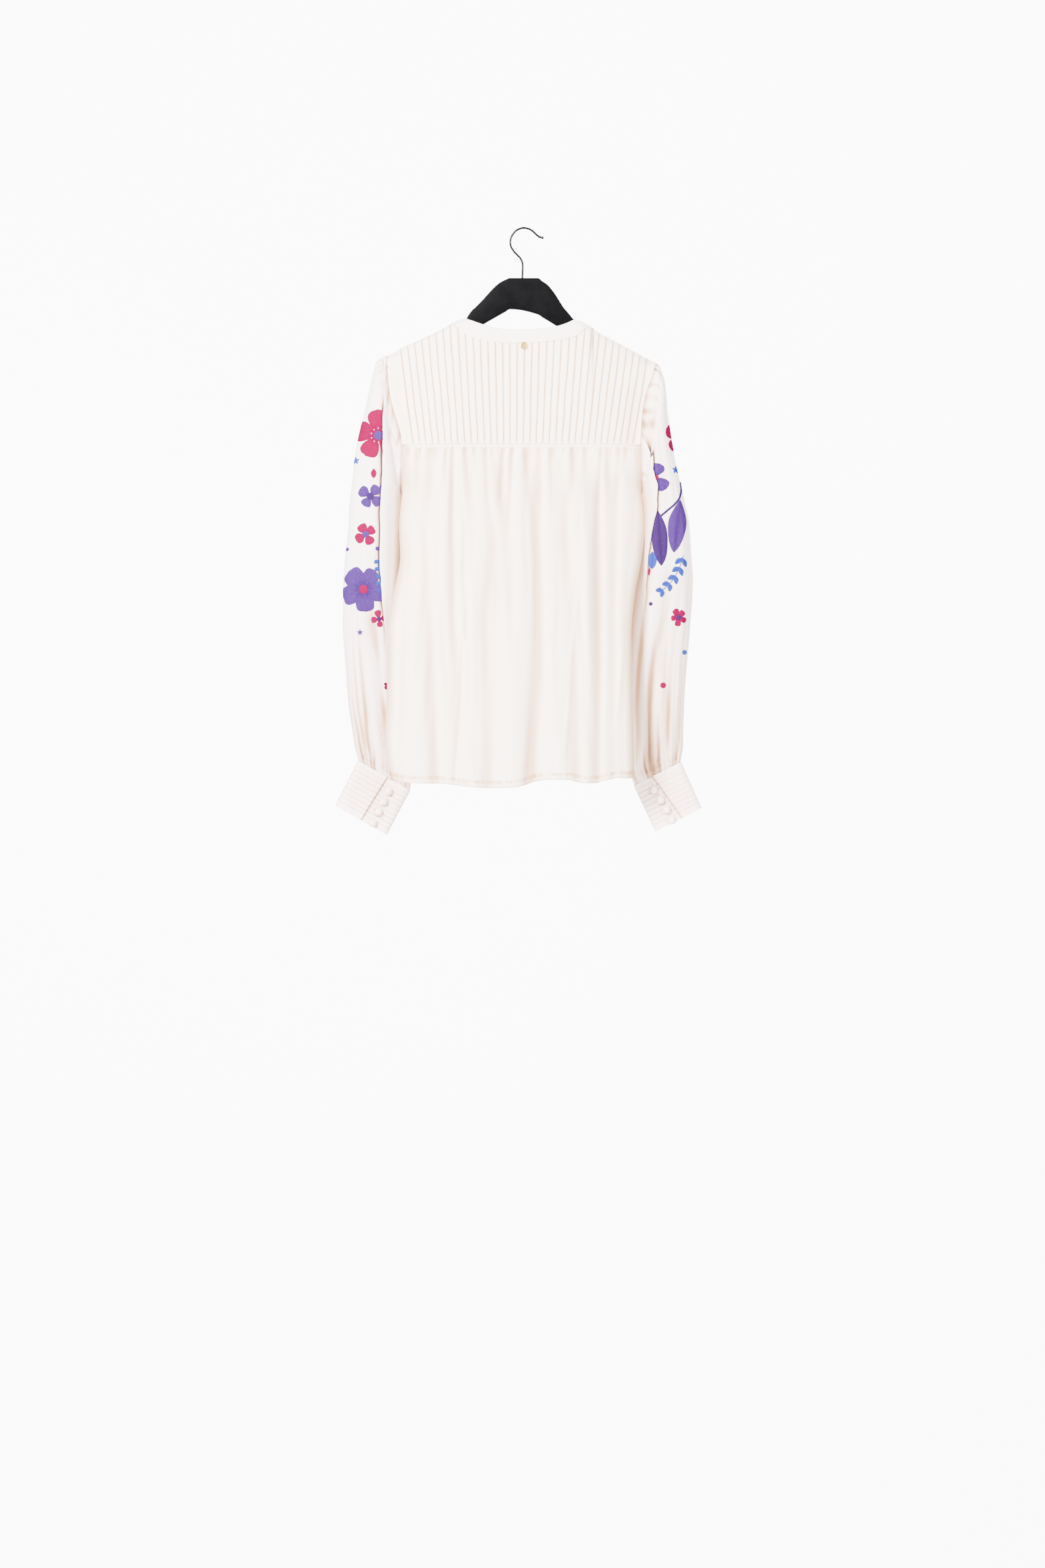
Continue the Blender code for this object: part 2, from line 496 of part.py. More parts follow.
def cuff_path(lap):
    """Section of a cuff: (share of the width, depth share) from the overlap edge round to the end of the underlap."""
    front = [(s, 1.0) for s in (lap, (lap + 0.12) / 2, 0.12)]
    round_out = [(0.03, 0.72), (0.0, 0.0), (0.03, -0.72)]
    far = [(0.14, -1.0), (0.5, -1.0), (0.86, -1.0)]
    round_in = [(0.97, -0.72), (1.0, -0.05), (0.97, 0.50)]
    under = [(0.88, 0.74), ((lap + 0.66) / 2, 0.76), (lap - 0.16, 0.76)]
    return front + round_out + far + round_in + under


def cuff_grid(c, lap):
    tl, tr, bl, br = (np.array(c[k]) for k in ("tl", "tr", "bl", "br"))
    rows = [0.0]
    for i in range(CUFF_TUCKS):
        at = 0.09 + 0.098 * (i + 1)
        rows += [at - 0.030, at]
    rows += [1.0]
    grid = []
    for t in rows:
        row = []
        a, b = tl + (bl - tl) * t, tr + (br - tr) * t
        place = lap[0] + (lap[1] - lap[0]) * t
        lifted = TUCK_RISE * 0.9 if (rows.index(t) % 2 == 1 and t < 1.0) else 0.0
        for s, d in cuff_path(place):
            p = a + (b - a) * s
            y = c["y"] + d * CUFF_HALF_DEPTH + (lifted * np.sign(d) * min(1.0, abs(d)) if abs(d) > 0.3 else 0.0)
            row.append((p[0], y, p[1]))
        grid.append(row)
    return np.array(grid, float)


def cuff_y(c, x, z):
    return c["y"] + CUFF_HALF_DEPTH


# ---------------------------------------------------------------- build
def material(name, colour, rough, metal=0.0):
    m = bpy.data.materials.new(name)
    m.use_nodes = True
    p = m.node_tree.nodes["Principled BSDF"]
    p.inputs["Base Color"].default_value = (*colour, 1)
    p.inputs["Roughness"].default_value = rough
    p.inputs["Metallic"].default_value = metal
    return m


def button(name, x, y, z, facing, mat, collection):
    """A covered button: a flat back and a domed face, turned from a profile about its own axis."""
    profile = ((0.0, 0.0), (3.6, 0.0), (4.9, 1.1), (4.5, 2.6), (2.6, 3.8), (0.0, BUTTON_H))
    mesh = bpy.data.meshes.new(name)
    pts = [(r * MM, 0.0, h * MM) for r, h in profile]
    mesh.from_pydata(pts, [(i, i + 1) for i in range(len(pts) - 1)], [])
    obj = bpy.data.objects.new(name, mesh)
    collection.objects.link(obj)
    turn = obj.modifiers.new("turn", "SCREW")
    turn.axis = "Z"
    turn.steps = turn.render_steps = 14
    turn.use_merge_vertices = True
    turn.merge_threshold = 0.00005
    turn.use_normal_flip = True
    obj.data.materials.append(mat)
    obj.location = (x * MM, y * MM, z * MM)
    obj.rotation_euler = (math.radians(-90 if facing > 0 else 90), 0, 0)
    return obj


def main():
    for old in list(bpy.data.objects):
        bpy.data.objects.remove(old, do_unlink=True)
    scene = bpy.context.scene
    blouse = bpy.data.collections.new("blouse_on_hanger")
    cutters = bpy.data.collections.new("cutters")
    cutters.hide_render = True
    scene.collection.children.link(blouse)
    scene.collection.children.link(cutters)

    ivory = (0.86, 0.82, 0.77)
    names = ("back_yoke", "back_panel", "front_left", "front_right", "neckband", "sleeve_left", "sleeve_right", "cuff_left", "cuff_right")
    mats = {n: material("cloth_" + n, ivory, 0.85) for n in names}

    cloth("back_yoke", yoke_grid(), mats["back_yoke"], blouse, outward=(0, 1, 0.2), rim="body")
    cloth("back_panel", panel_grid(), mats["back_panel"], blouse, outward=(0, 1, 0), rim="body")
    cloth("front_left", front_grid(1), mats["front_left"], blouse, outward=(0, -1, 0.2), rim="body")
    cloth("front_right", front_grid(-1), mats["front_right"], blouse, outward=(0, -1, 0.2), rim="body")
    cloth("neckband", band_grid(), mats["neckband"], blouse)
    cloth("sleeve_left", sleeve_grid(SLEEVE_L, ARMHOLE_L, 1, sleeve_angles(ARMHOLE_L)), mats["sleeve_left"], blouse, wrap=True, rim="sleeve")
    cloth("sleeve_right", sleeve_grid(SLEEVE_R, ARMHOLE_R, -1, sleeve_angles(ARMHOLE_R)), mats["sleeve_right"], blouse, wrap=True, rim="sleeve")
    cloth("cuff_left", cuff_grid(CUFF_L, CUFF_LAP_L), mats["cuff_left"], blouse)
    cloth("cuff_right", cuff_grid(CUFF_R, CUFF_LAP_R), mats["cuff_right"], blouse)

    covered = material("covered_button", ivory, 0.8)
    for side, cuff, places in (("left", CUFF_L, CUFF_BUTTONS_L), ("right", CUFF_R, CUFF_BUTTONS_R)):
        for i, (x, z) in enumerate(places):
            button(f"cuff_button_{side}_{i + 1}", x, cuff_y(cuff, x, z) + 1.4, z, 1, covered, blouse)
    for i, z in enumerate(FRONT_BUTTONS_Z):
        y = float(front_y(0.0, z)) - LAP_STEP - 0.6
        button(f"front_button_{i + 1}", 0.0, y, z, -1, covered, blouse)

    # hanger: one flat board with rounded edges and a bore for the hook's shank
    wood = material("black_wood", (0.012, 0.012, 0.014), 0.38)
    xs = HANGER["x"]
    outline = [(x, t) for x, t in zip(xs, HANGER["top"])] + [(x, l) for x, l in reversed(list(zip(xs, HANGER["low"])))]
    k = len(outline)
    verts = [(x, -HANGER_T / 2, z) for x, z in outline] + [(x, HANGER_T / 2, z) for x, z in outline]
    faces = []
    m = len(xs)
    for i in range(m - 1):
        a, b, c, d = i, i + 1, k - 2 - i, k - 1 - i
        faces.append((a, b, c, d))
        faces.append((k + d, k + c, k + b, k + a))
    for i in range(k):
        j = (i + 1) % k
        faces.append((j, i, k + i, k + j))
    board = make_mesh("hanger_wood", np.array(verts, float), faces, wood, blouse)
    bevel = board.modifiers.new("edges", "BEVEL")
    bevel.width = 0.0026
    bevel.segments = 2
    bevel.limit_method = "ANGLE"
    bevel.angle_limit = math.radians(60)
    bpy.ops.mesh.primitive_cylinder_add(vertices=16, radius=0.00195, depth=0.024, location=(0.0002, 0, -0.0685))
    bore = bpy.context.object
    bore.name = "shank_bore"
    for c in list(bore.users_collection):
        c.objects.unlink(bore)
    cutters.objects.link(bore)
    bore.hide_render = True
    bore.display_type = "WIRE"
    cut = board.modifiers.new("bore", "BOOLEAN")
    cut.operation = "DIFFERENCE"
    cut.object = bore
    cut.solver = "EXACT"

    # hook: bent wire with a small ball at its free end
    dark = material("dark_metal", (0.03, 0.03, 0.032), 0.3, 1.0)
    curve = bpy.data.curves.new("hanger_hook", "CURVE")
    curve.dimensions = "3D"
    curve.bevel_depth = HOOK_R * MM
    curve.bevel_resolution = 2
    curve.use_fill_caps = True
    px, pz = np.array(HOOK["x"], float), np.array(HOOK["z"], float)
    pts = list(zip(px, pz, [1.0] * len(px)))
    ex, ez = px[-1], pz[-1]
    pts += [(ex - 1.0, ez - 0.1, 1.35), (ex - 2.2, ez - 0.1, 1.4), (ex - 3.2, ez, 0.9)]
    spline = curve.splines.new("POLY")
    spline.points.add(len(pts) - 1)
    for p, (x, z, r) in zip(spline.points, pts):
        p.co = (x * MM, 0, (z) * MM, 1)
        p.radius = r
    hook = bpy.data.objects.new("hanger_hook", curve)
    hook.data.materials.append(dark)
    blouse.objects.link(hook)

    gold = material("plain_gold", (0.83, 0.62, 0.30), 0.3, 1.0)
    y = float(back_y(DISC_AT[0], DISC_AT[1])) + TUCK_RISE + SEAM / 2 + 1.6
    bpy.ops.mesh.primitive_cylinder_add(vertices=32, radius=DISC_D / 2 * MM, depth=DISC_T * MM, location=(DISC_AT[0] * MM, y * MM, DISC_AT[1] * MM), rotation=(math.radians(90 - 4), 0, 0))
    disc = bpy.context.object
    disc.name = "neck_disc"
    disc.data.materials.append(gold)
    for c in list(disc.users_collection):
        c.objects.unlink(disc)
    blouse.objects.link(disc)


main()
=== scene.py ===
import math

import bpy
import numpy as np
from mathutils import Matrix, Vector
from mathutils.bvhtree import BVHTree


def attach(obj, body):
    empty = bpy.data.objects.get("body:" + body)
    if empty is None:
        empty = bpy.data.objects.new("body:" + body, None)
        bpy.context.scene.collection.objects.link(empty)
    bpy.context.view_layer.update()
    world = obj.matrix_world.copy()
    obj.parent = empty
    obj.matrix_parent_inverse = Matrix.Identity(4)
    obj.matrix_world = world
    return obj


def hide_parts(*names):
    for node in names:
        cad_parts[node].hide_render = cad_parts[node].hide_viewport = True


# Lengths are millimetres in the tables. +Y is the back of the blouse, which the picture shows.
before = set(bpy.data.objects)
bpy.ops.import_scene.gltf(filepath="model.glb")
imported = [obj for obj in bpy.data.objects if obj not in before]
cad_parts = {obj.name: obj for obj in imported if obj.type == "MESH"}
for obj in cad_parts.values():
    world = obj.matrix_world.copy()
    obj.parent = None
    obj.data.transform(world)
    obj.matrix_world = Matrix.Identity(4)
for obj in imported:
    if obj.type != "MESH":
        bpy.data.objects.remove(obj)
WORLD, KEY = 1.35, 1780.0


def ease(at, xs, ys):
    """Monotone cubic through the points (xs, ys), held flat past both ends."""
    xs, ys = np.asarray(xs, float), np.asarray(ys, float)
    at = np.clip(np.asarray(at, float), xs[0], xs[-1])
    h = np.diff(xs)
    d = np.diff(ys) / h
    m = np.zeros(len(xs))
    m[0], m[-1] = d[0], d[-1]
    if len(xs) > 2:
        same = d[1:] * d[:-1] > 0
        w1, w2 = 2 * h[1:] + h[:-1], h[1:] + 2 * h[:-1]
        with np.errstate(divide="ignore", invalid="ignore"):
            mean = (w1 + w2) / (w1 / d[:-1] + w2 / d[1:])
        m[1:-1] = np.where(same, mean, 0.0)
    i = np.clip(np.searchsorted(xs, at, side="right") - 1, 0, len(xs) - 2)
    t = (at - xs[i]) / h[i]
    a, b = 2 * t ** 3 - 3 * t ** 2 + 1, t ** 3 - 2 * t ** 2 + t
    return a * ys[i] + b * h[i] * m[i] + (1 - a) * ys[i + 1] + (t ** 3 - t ** 2) * h[i] * m[i + 1]


MM = 0.001
WALL = 1.2          # cloth wall
SEAM = 0.4          # gap between two pieces along a seam
SIDE_GAP = 0.15     # more at the side seams, each side

# ---------------------------------------------------------------- tables
SHOULDER = {  # top line of the shoulders
    "x": (-204, -185.5, -161.1, -141.2, -121.4, -101.6, -97.5, 97.5, 108.6, 126.9, 145.2, 163.5, 184.9, 204),
    "z": (-191, -185.6, -173.4, -162.7, -152.0, -141.3, -138.6, -131.6, -137.6, -146.6, -155.1, -163.5, -174.9, -184),
}
BAND_BACK = {  # neckband, back half: its top edge seen from behind
    "x_top": (-81.9, -74.6, -61.9, -50.7, -33.8, -5.6, 15.5, 29.6, 43.7, 57.8, 71.9, 81.8),
    "z_top": (-128.4, -127.9, -132.8, -137.0, -139.8, -142.0, -142.2, -141.2, -138.4, -134.1, -128.5, -124.6),
}
ARMHOLE_L = {"z": (-174.9, -189.8, -222.0, -240.4, -302.4, -364.6), "x": (184.9, 187.6, 184.9, 181.5, 166.8, 169.7)}
ARMHOLE_R = {"z": (-185.6, -208.2, -231.2, -258.8, -302.4, -364.6), "x": (-185.5, -178.5, -170.2, -165.6, -163.6, -167.4)}
BODY = {  # below the yoke: the two side edges, depth to the back and the front, and the side seam's own depth
    "z":     (-302.4, -364.6, -405.0, -454.0, -507.0, -562.0, -642.0, -716.0, -748.0, -778.0),
    "left":  (166.8, 169.7, 172.0, 169.7, 178.5, 187.7, 187.7, 191.4, 187.7, 178.0),
    "right": (-163.6, -167.4, -170.6, -166.0, -156.0, -151.0, -152.0, -154.0, -154.6, -155.2),
    "back":  (32.0, 35.0, 37.0, 39.0, 41.0, 43.0, 45.0, 47.0, 48.0, 49.0),
    "front": (30.0, 31.0, 31.0, 31.0, 31.0, 31.0, 32.0, 33.0, 33.0, 33.0),
    "side":  (0.0, 0.0, 1.0, 3.0, 6.0, 9.0, 11.0, 12.0, 12.0, 12.0),
}
HEM = {
    "x": (-156, -143.9, -135.2, -124.2, -111.9, -99.5, -87.2, -74.9, -65.0, -40.4, -28.1, -15.6, -0.9, 18.8, 45.9, 70.6, 95.2, 115, 137.1, 166.6, 181.4, 192),
    "z": (-761.4, -763.3, -762.1, -764.1, -766.5, -769.8, -769.9, -767.7, -765.1, -765.1, -765.8, -767.7, -773.2, -776.1, -776.4, -775.2, -772.0, -770.2, -770.2, -768.3, -764.6, -762),
}
BACK_FOLDS = {  # troughs of the gathered panel: x and depth at three heights, and width
    "x_high": (156.9, 134.3, 89.2, 35.0, -20.2, -57.0, -102.1, -127.5, -154.3),
    "x_mid":  (163.8, 132.9, 94.8, 49.7, -20.2, -69.9, -103.6, -124.8, -144.0),
    "x_low":  (170.0, 122.4, 95.7, 49.7, -12.0, -74.1, -102.1, -125.1, -138.9),
    "d_high": (2.0, 3.0, 3.0, 3.5, 3.5, 2.5, 6.0, 3.0, 2.0),
    "d_mid":  (3.5, 5.5, 4.5, 4.5, 6.0, 4.0, 8.0, 4.0, 3.0),
    "d_low":  (3.0, 7.0, 3.5, 5.0, 9.0, 5.5, 7.0, 3.5, 3.0),
    "width":  (9.0, 13.0, 14.0, 14.0, 13.0, 12.0, 10.0, 9.0, 8.0),
}
FRONT_FOLDS = {
    "x_high": (132.0, 92.0, 52.0, -50.0, -88.0, -126.0),
    "x_mid":  (136.0, 94.0, 54.0, -50.0, -90.0, -122.0),
    "x_low":  (138.0, 98.0, 56.0, -52.0, -92.0, -124.0),
    "d_high": (2.0, 2.5, 2.0, 2.0, 2.5, 2.0),
    "d_mid":  (4.0, 4.5, 3.5, 3.5, 5.0, 4.0),
    "d_low":  (5.0, 5.5, 4.5, 4.5, 6.0, 4.5),
    "width":  (13.0, 14.0, 13.0, 13.0, 14.0, 12.0),
}
TUCKS = 35
TUCK_SEAM, TUCK_TOP, TUCK_TOP_Z = 8.93, 9.96, -185.2   # spacing at the yoke seam and at a height near the top
TUCK_MID_SEAM, TUCK_MID_TOP = -0.9, -2.8
TUCK_RISE, TUCK_LIP = 1.0, 1.9
YOKE_Z = -302.4

FRONT_LAP = 12.5        # each front passes the centre line by this
LAP_STEP = 2.0          # the upper front lies this far out
NECK_FRONT_Z = -236.0
BAND_W = 17.5

SLEEVE_L = {  # one row for a ring: outer end, inner end, depth centre, half depth
    "xo": (185.4, 201.5, 210.5, 219.9, 228.2, 234.5, 239.5, 243.3, 247.5, 250.8, 251.0, 248.0, 244.7, 239.5, 234.0, 230.9),
    "zo": (-175.2, -182.6, -214.0, -257.9, -291.9, -328.0, -374.0, -420.0, -464.0, -510.0, -546.0, -596.0, -645.0, -692.0, -722.0, -736.5),
    "xi": (170.4, 171.4, 172.0, 172.2, 172.3, 172.4, 173.0, 174.0, 173.6, 173.0, 172.0, 170.0, 166.5, 160.0, 155.5, 157.2),
    "zi": (-364.9, -366.0, -368.0, -371.0, -376.0, -386.0, -404.0, -434.0, -474.0, -516.0, -552.0, -604.0, -656.0, -712.0, -752.0, -778.6),
    "yc": (0.0, 0.0, -1.0, -2.0, -4.0, -6.0, -9.0, -14.0, -21.0, -29.0, -36.0, -42.0, -46.0, -49.0, -51.0, -52.0),
    "b":  (0.0, 22.0, 27.0, 29.0, 30.0, 30.0, 30.0, 30.0, 29.0, 27.0, 26.0, 25.0, 25.0, 24.0, 17.0, 9.5),
}
SLEEVE_R = {
    "xo": (-186.0, -192.5, -198.4, -202.1, -208.8, -217.0, -225.0, -232.5, -236.0, -238.3, -236.5, -233.6, -229.5, -226.2, -224.6, -222.5),
    "zo": (-185.9, -196.5, -216.0, -260.6, -302.0, -341.0, -376.0, -410.0, -456.0, -486.0, -520.0, -570.0, -622.0, -684.0, -722.0, -738.5),
    "xi": (-168.2, -169.6, -170.6, -171.6, -172.6, -173.4, -173.6, -172.0, -168.0, -162.0, -156.5, -151.5, -148.0, -146.0, -148.0, -156.0),
    "zi": (-364.9, -366.0, -368.0, -371.0, -376.0, -386.0, -404.0, -434.0, -474.0, -510.0, -546.0, -596.0, -648.0, -706.0, -748.0, -772.0),
    "yc": (0.0, 0.0, -1.0, -2.0, -4.0, -6.0, -9.0, -14.0, -22.0, -31.0, -38.0, -44.0, -48.0, -50.0, -52.0, -52.0),
    "b":  (0.0, 22.0, 27.0, 29.0, 30.0, 30.0, 30.0, 30.0, 29.0, 27.0, 26.0, 25.0, 25.0, 24.0, 17.0, 9.5),
}
SLEEVE_FOLDS = {  # troughs along a sleeve: angle round it (0 outer edge, 90 back, 270 front), depth high, middle and low, width in degrees
    "angle":  (38.0, 66.0, 92.0, 205.0, 240.0, 275.0, 310.0, 340.0),
    "d_high": (0.8, 1.0, 0.8, 1.0, 1.5, 1.5, 1.5, 0.5),
    "d_mid":  (1.2, 2.0, 3.5, 2.0, 3.0, 3.5, 3.0, 1.5),
    "d_low":  (2.5, 4.0, 4.5, 2.5, 4.0, 4.5, 4.0, 2.0),
    "width":  (13.0, 12.0, 13.0, 14.0, 14.0, 15.0, 14.0, 12.0),
}
FOLD_OVER = {"ring": (0, 2, 3, 7, 9, 15), "rise": (0.0, 1.0, 5.0, 5.0, 2.0, 0.0)}  # the plain inner fold of each sleeve's back
FOLD_ANGLE = 100.0

CUFF_L = {"tl": (230.9, -737.6), "tr": (157.2, -779.7), "bl": (262.8, -800.6), "br": (190.2, -842.1), "y": -52.0}
CUFF_R = {"tl": (-222.5, -739.6), "tr": (-156.0, -773.1), "bl": (-251.4, -804.2), "br": (-186.2, -837.4), "y": -52.0}
CUFF_HALF_DEPTH = 9.0
CUFF_TUCKS = 8
CUFF_LAP_L = (0.56, 0.50)   # overlap edge as a share of the width, at the top and at the bottom
CUFF_LAP_R = (0.60, 0.42)
CUFF_BUTTONS_L = ((187.8, -781.0), (194.9, -795.5), (201.8, -809.6), (209.8, -825.4))
CUFF_BUTTONS_R = ((-184.1, -779.1), (-193.6, -793.4), (-202.0, -806.6), (-209.4, -821.7))
FRONT_BUTTONS_Z = (-262.0, -338.0, -414.0, -490.0, -566.0, -642.0, -718.0)
BUTTON_D, BUTTON_H = 9.8, 4.2

HANGER = {  # flat wooden hanger seen from behind: top and underside
    "x":   (-178, -172, -150, -120, -97.5, -88, -82, -77, -72, -64.8, -57.7, -52.1, -46.5, -40.8, -35.2, -28.2, -21.2, 17.5, 23.9, 31.0, 38.0, 43.7, 50.7, 57.8, 64.8, 71.9, 76.5, 79.5, 82.5, 88, 97.5, 120, 150, 172, 178),
    "top": (-189.5, -184.5, -174.0, -159.0, -147.0, -141.5, -137.0, -132.5, -127.0, -117.9, -109.6, -101.1, -91.9, -84.2, -77.8, -73.0, -68.3, -68.3, -70.8, -74.3, -79.9, -85.6, -93.4, -101.1, -108.1, -115.2, -122.0, -128.0, -131.8, -135.4, -140.6, -150.0, -164.0, -175.0, -179.5),
    "low": (-196, -199.5, -189.5, -175.5, -164.0, -159.0, -155.5, -152.5, -149.5, -145.4, -141.2, -137.8, -134.4, -130.9, -127.4, -123.1, -118.8, -111.5, -115.2, -119.2, -123.2, -126.4, -130.4, -134.6, -138.6, -142.6, -145.2, -146.8, -148.5, -151.5, -156.3, -166.5, -180.5, -190.5, -187),
}
HANGER_T = 10.0
HOOK = {
    "x": (0.2, 0.2, -0.3, 2.1, 7.1, 12.7, 16.2, 16.9, 14.8, 9.8, 4.4, -1.5, -8.0, -13.6, -18.5, -22.6, -26.4),
    "z": (-80.0, -66.0, -50.4, -42.0, -36.3, -30.0, -23.6, -16.6, -9.6, -3.2, 0.2, 1.5, 0.4, -2.6, -7.0, -10.6, -12.0),
}
HOOK_R = 1.5
DISC_AT, DISC_D, DISC_T = (-1.4, -165.0), 10.0, 0.8


def smooth(a, b, v):
    t = np.clip((np.asarray(v, float) - a) / (b - a), 0.0, 1.0)
    return t * t * (3 - 2 * t)


def table(rows, key, value, at):
    return ease(at, rows[key], rows[value])


def down(rows, value, z):
    """A column of a table whose heights run downwards."""
    return ease(-np.asarray(z, float), -np.array(rows["z"], float), rows[value])


# ---------------------------------------------------------------- body form
def shoulder_z(x):
    return table(SHOULDER, "x", "z", x)


def band_low_back(x):
    """Lower edge of the neckband behind: height at x."""
    top = table(BAND_BACK, "x_top", "z_top", np.clip(x * 0.84, -81.8, 81.8))
    return top - BAND_W + 9.6 * smooth(70, 97.5, np.abs(x)) - 0.6 * smooth(0, 60, x) * smooth(97.5, 80, x)


def neck_back_y(x):
    return 25.0 * np.sqrt(np.clip(1 - np.abs(x / 97.5) ** 5, 0, 1))


def top_back(x):
    """The top edge of the yoke."""
    inside = np.abs(x) < 97.5
    return np.where(inside, np.minimum(band_low_back(x), shoulder_z(x)), shoulder_z(x))


def edge_y(drop):
    """Half opening of an armhole, by the drop below its shoulder end."""
    return 9.5 * (1 - np.exp(-drop / 3.0)) + 8.8 * (1 - np.exp(-drop / 60.0))


def back_y(x, z):
    """Depth of the back at x and z, tucks and folds left out."""
    x = np.asarray(x, float)
    z = np.asarray(z, float)
    xl = np.where(z > YOKE_Z, ease(-z, -np.array(ARMHOLE_L["z"]), ARMHOLE_L["x"]), down(BODY, "left", z))
    xr = np.where(z > YOKE_Z, ease(-z, -np.array(ARMHOLE_R["z"]), ARMHOLE_R["x"]), down(BODY, "right", z))
    u = np.clip((2 * x - xl - xr) / (xl - xr), -1, 1)
    drop = np.maximum(top_back(x) - z, 0)
    neck = neck_back_y(x)
    lip = 9.5 * smooth(80, 104, np.abs(x)) * (1 - np.exp(-drop / 3.0))
    spread = (1 - np.exp(-drop / 60.0)) / (1 - np.exp(-130 / 60.0))
    upper = neck + lip + (32.0 - neck - 9.5 * smooth(80, 104, np.abs(x))) * spread * (1 - np.abs(u) ** 4 * 0.62)
    edge = edge_y(np.maximum(np.where(x > 0, -174.9, -185.6) - z, 0))
    k = smooth(0.86, 1.0, np.abs(u))
    upper = upper * (1 - k) + edge * k
    depth = down(BODY, "back", z)
    side = down(BODY, "side", z) + SIDE_GAP
    hold = smooth(-325.0, -366.0, z)
    rim = edge * (1 - hold) + side * hold
    power = 4.0 - 1.2 * hold
    root = 1.0 - 0.45 * hold
    low = rim + (depth - rim) * np.clip(1 - np.abs(u) ** power, 0, 1) ** root
    blend = smooth(-290.0, -330.0, z)
    return upper * (1 - blend) + low * blend


def neck_front_z(x):
    a = np.clip(np.abs(x) / 97.5, 0, 1)
    return NECK_FRONT_Z + (NECK_FRONT_Z * -1 + np.where(x > 0, -131.6, -138.6)) * (1 - np.clip(1 - a ** 2.2, 0, 1) ** 0.62)


def top_front(x):
    return np.where(np.abs(x) < 97.5, neck_front_z(x), shoulder_z(x))


def neck_front_y(x):
    return 27.0 * np.sqrt(np.clip(1 - (x / 97.5) ** 2, 0, 1))


def front_y(x, z):
    x = np.asarray(x, float)
    z = np.asarray(z, float)
    xl = np.where(z > YOKE_Z, ease(-z, -np.array(ARMHOLE_L["z"]), ARMHOLE_L["x"]), down(BODY, "left", z))
    xr = np.where(z > YOKE_Z, ease(-z, -np.array(ARMHOLE_R["z"]), ARMHOLE_R["x"]), down(BODY, "right", z))
    u = np.clip((2 * x - xl - xr) / (xl - xr), -1, 1)
    drop = np.maximum(shoulder_z(x) - z, 0)
    lip = 9.5 * (1 - np.exp(-drop / 3.0))
    spread = (1 - np.exp(-drop / 60.0)) / (1 - np.exp(-130 / 60.0))
    upper = lip + (30.0 - 9.5) * spread * (1 - np.abs(u) ** 4 * 0.62)
    edge = edge_y(np.maximum(np.where(x > 0, -174.9, -185.6) - z, 0))
    k = smooth(0.86, 1.0, np.abs(u))
    upper = upper * (1 - k) + edge * k
    depth = down(BODY, "front", z)
    side = down(BODY, "side", z) - SIDE_GAP
    hold = smooth(-325.0, -366.0, z)
    rim = edge * (1 - hold) - side * hold
    low = rim + (depth - rim) * np.clip(1 - np.abs(u) ** (4.0 - 1.2 * hold), 0, 1) ** (1.0 - 0.45 * hold)
    blend = smooth(-290.0, -330.0, z)
    return -(upper * (1 - blend) + low * blend)


def folds(rows, x, z, z_high, z_mid, z_low, z_start):
    """Sum of the troughs of a fold table, as a depth to take off."""
    out = np.zeros(np.broadcast(x, z).shape)
    heights = (-z_high, -z_mid, -z_low)
    for i in range(len(rows["width"])):
        at = ease(-z, heights, (rows["x_high"][i], rows["x_mid"][i], rows["x_low"][i]))
        deep = ease(-z, heights, (rows["d_high"][i], rows["d_mid"][i], rows["d_low"][i]))
        out = out + deep * np.exp(-((x - at) / rows["width"][i]) ** 2)
    return out * smooth(z_start, z_start - 70.0, z)


# ---------------------------------------------------------------- pieces as grids
YOKE_ROWS = (0.0, 0.018, 0.06, 0.25, 0.6, 1.0)      # shares of the height from the top edge to the yoke seam
LOW_ROWS = (-320.0, -340.0, -357.0, -364.6)         # down to the underarm
BODY_ROWS = (-405.0, -454.0, -507.0, -562.0, -642.0, -716.0)


def tuck_x(j, z):
    t = (z - YOKE_Z) / (TUCK_TOP_Z - YOKE_Z)
    return (TUCK_MID_SEAM + TUCK_SEAM * j) * (1 - t) + (TUCK_MID_TOP + TUCK_TOP * j) * t


FRONT_COLUMNS = (0.0, 0.06, 0.17, 0.30, 0.41, 0.449, 0.458, 0.480, 0.525, 0.60, 0.69, 0.79, 0.895, 1.0)


def front_grid(side):
    """One front, from its side edge to its edge past the centre line."""
    lap = -side * FRONT_LAP
    arm = ARMHOLE_L if side > 0 else ARMHOLE_R
    edge = "left" if side > 0 else "right"

    def x_at(share, z):
        outer = np.interp(-z, -np.array(arm["z"]), arm["x"]) if z > YOKE_Z else float(down(BODY, edge, z))
        return outer + (lap - outer) * share

    grid = []
    for c, share in enumerate(FRONT_COLUMNS):
        z_top = -175.0
        for _ in range(40):
            z_top = 0.5 * z_top + 0.5 * float(top_front(x_at(share, z_top)))
        if c == 0:
            z_top = arm["z"][0]
        z_top -= SEAM
        z_low = float(table(HEM, "x", "z", x_at(share, -768.0)))
        heights = [z_top + (YOKE_Z + SEAM / 2 - z_top) * t for t in YOKE_ROWS] + [*LOW_ROWS, *BODY_ROWS, z_low]
        column = []
        for z in heights:
            x = float(x_at(share, z))
            y = float(front_y(x, z))
            if c > 0:
                y += float(folds(FRONT_FOLDS, np.array(x), np.array(z), -403.2, -564.2, -747.3, -300.0))
            if side < 0:
                y -= LAP_STEP * float(smooth(-34, -16, x))
            column.append((x, y - SEAM / 2, z))
        grid.append(column)
    return np.array(grid).transpose(1, 0, 2)


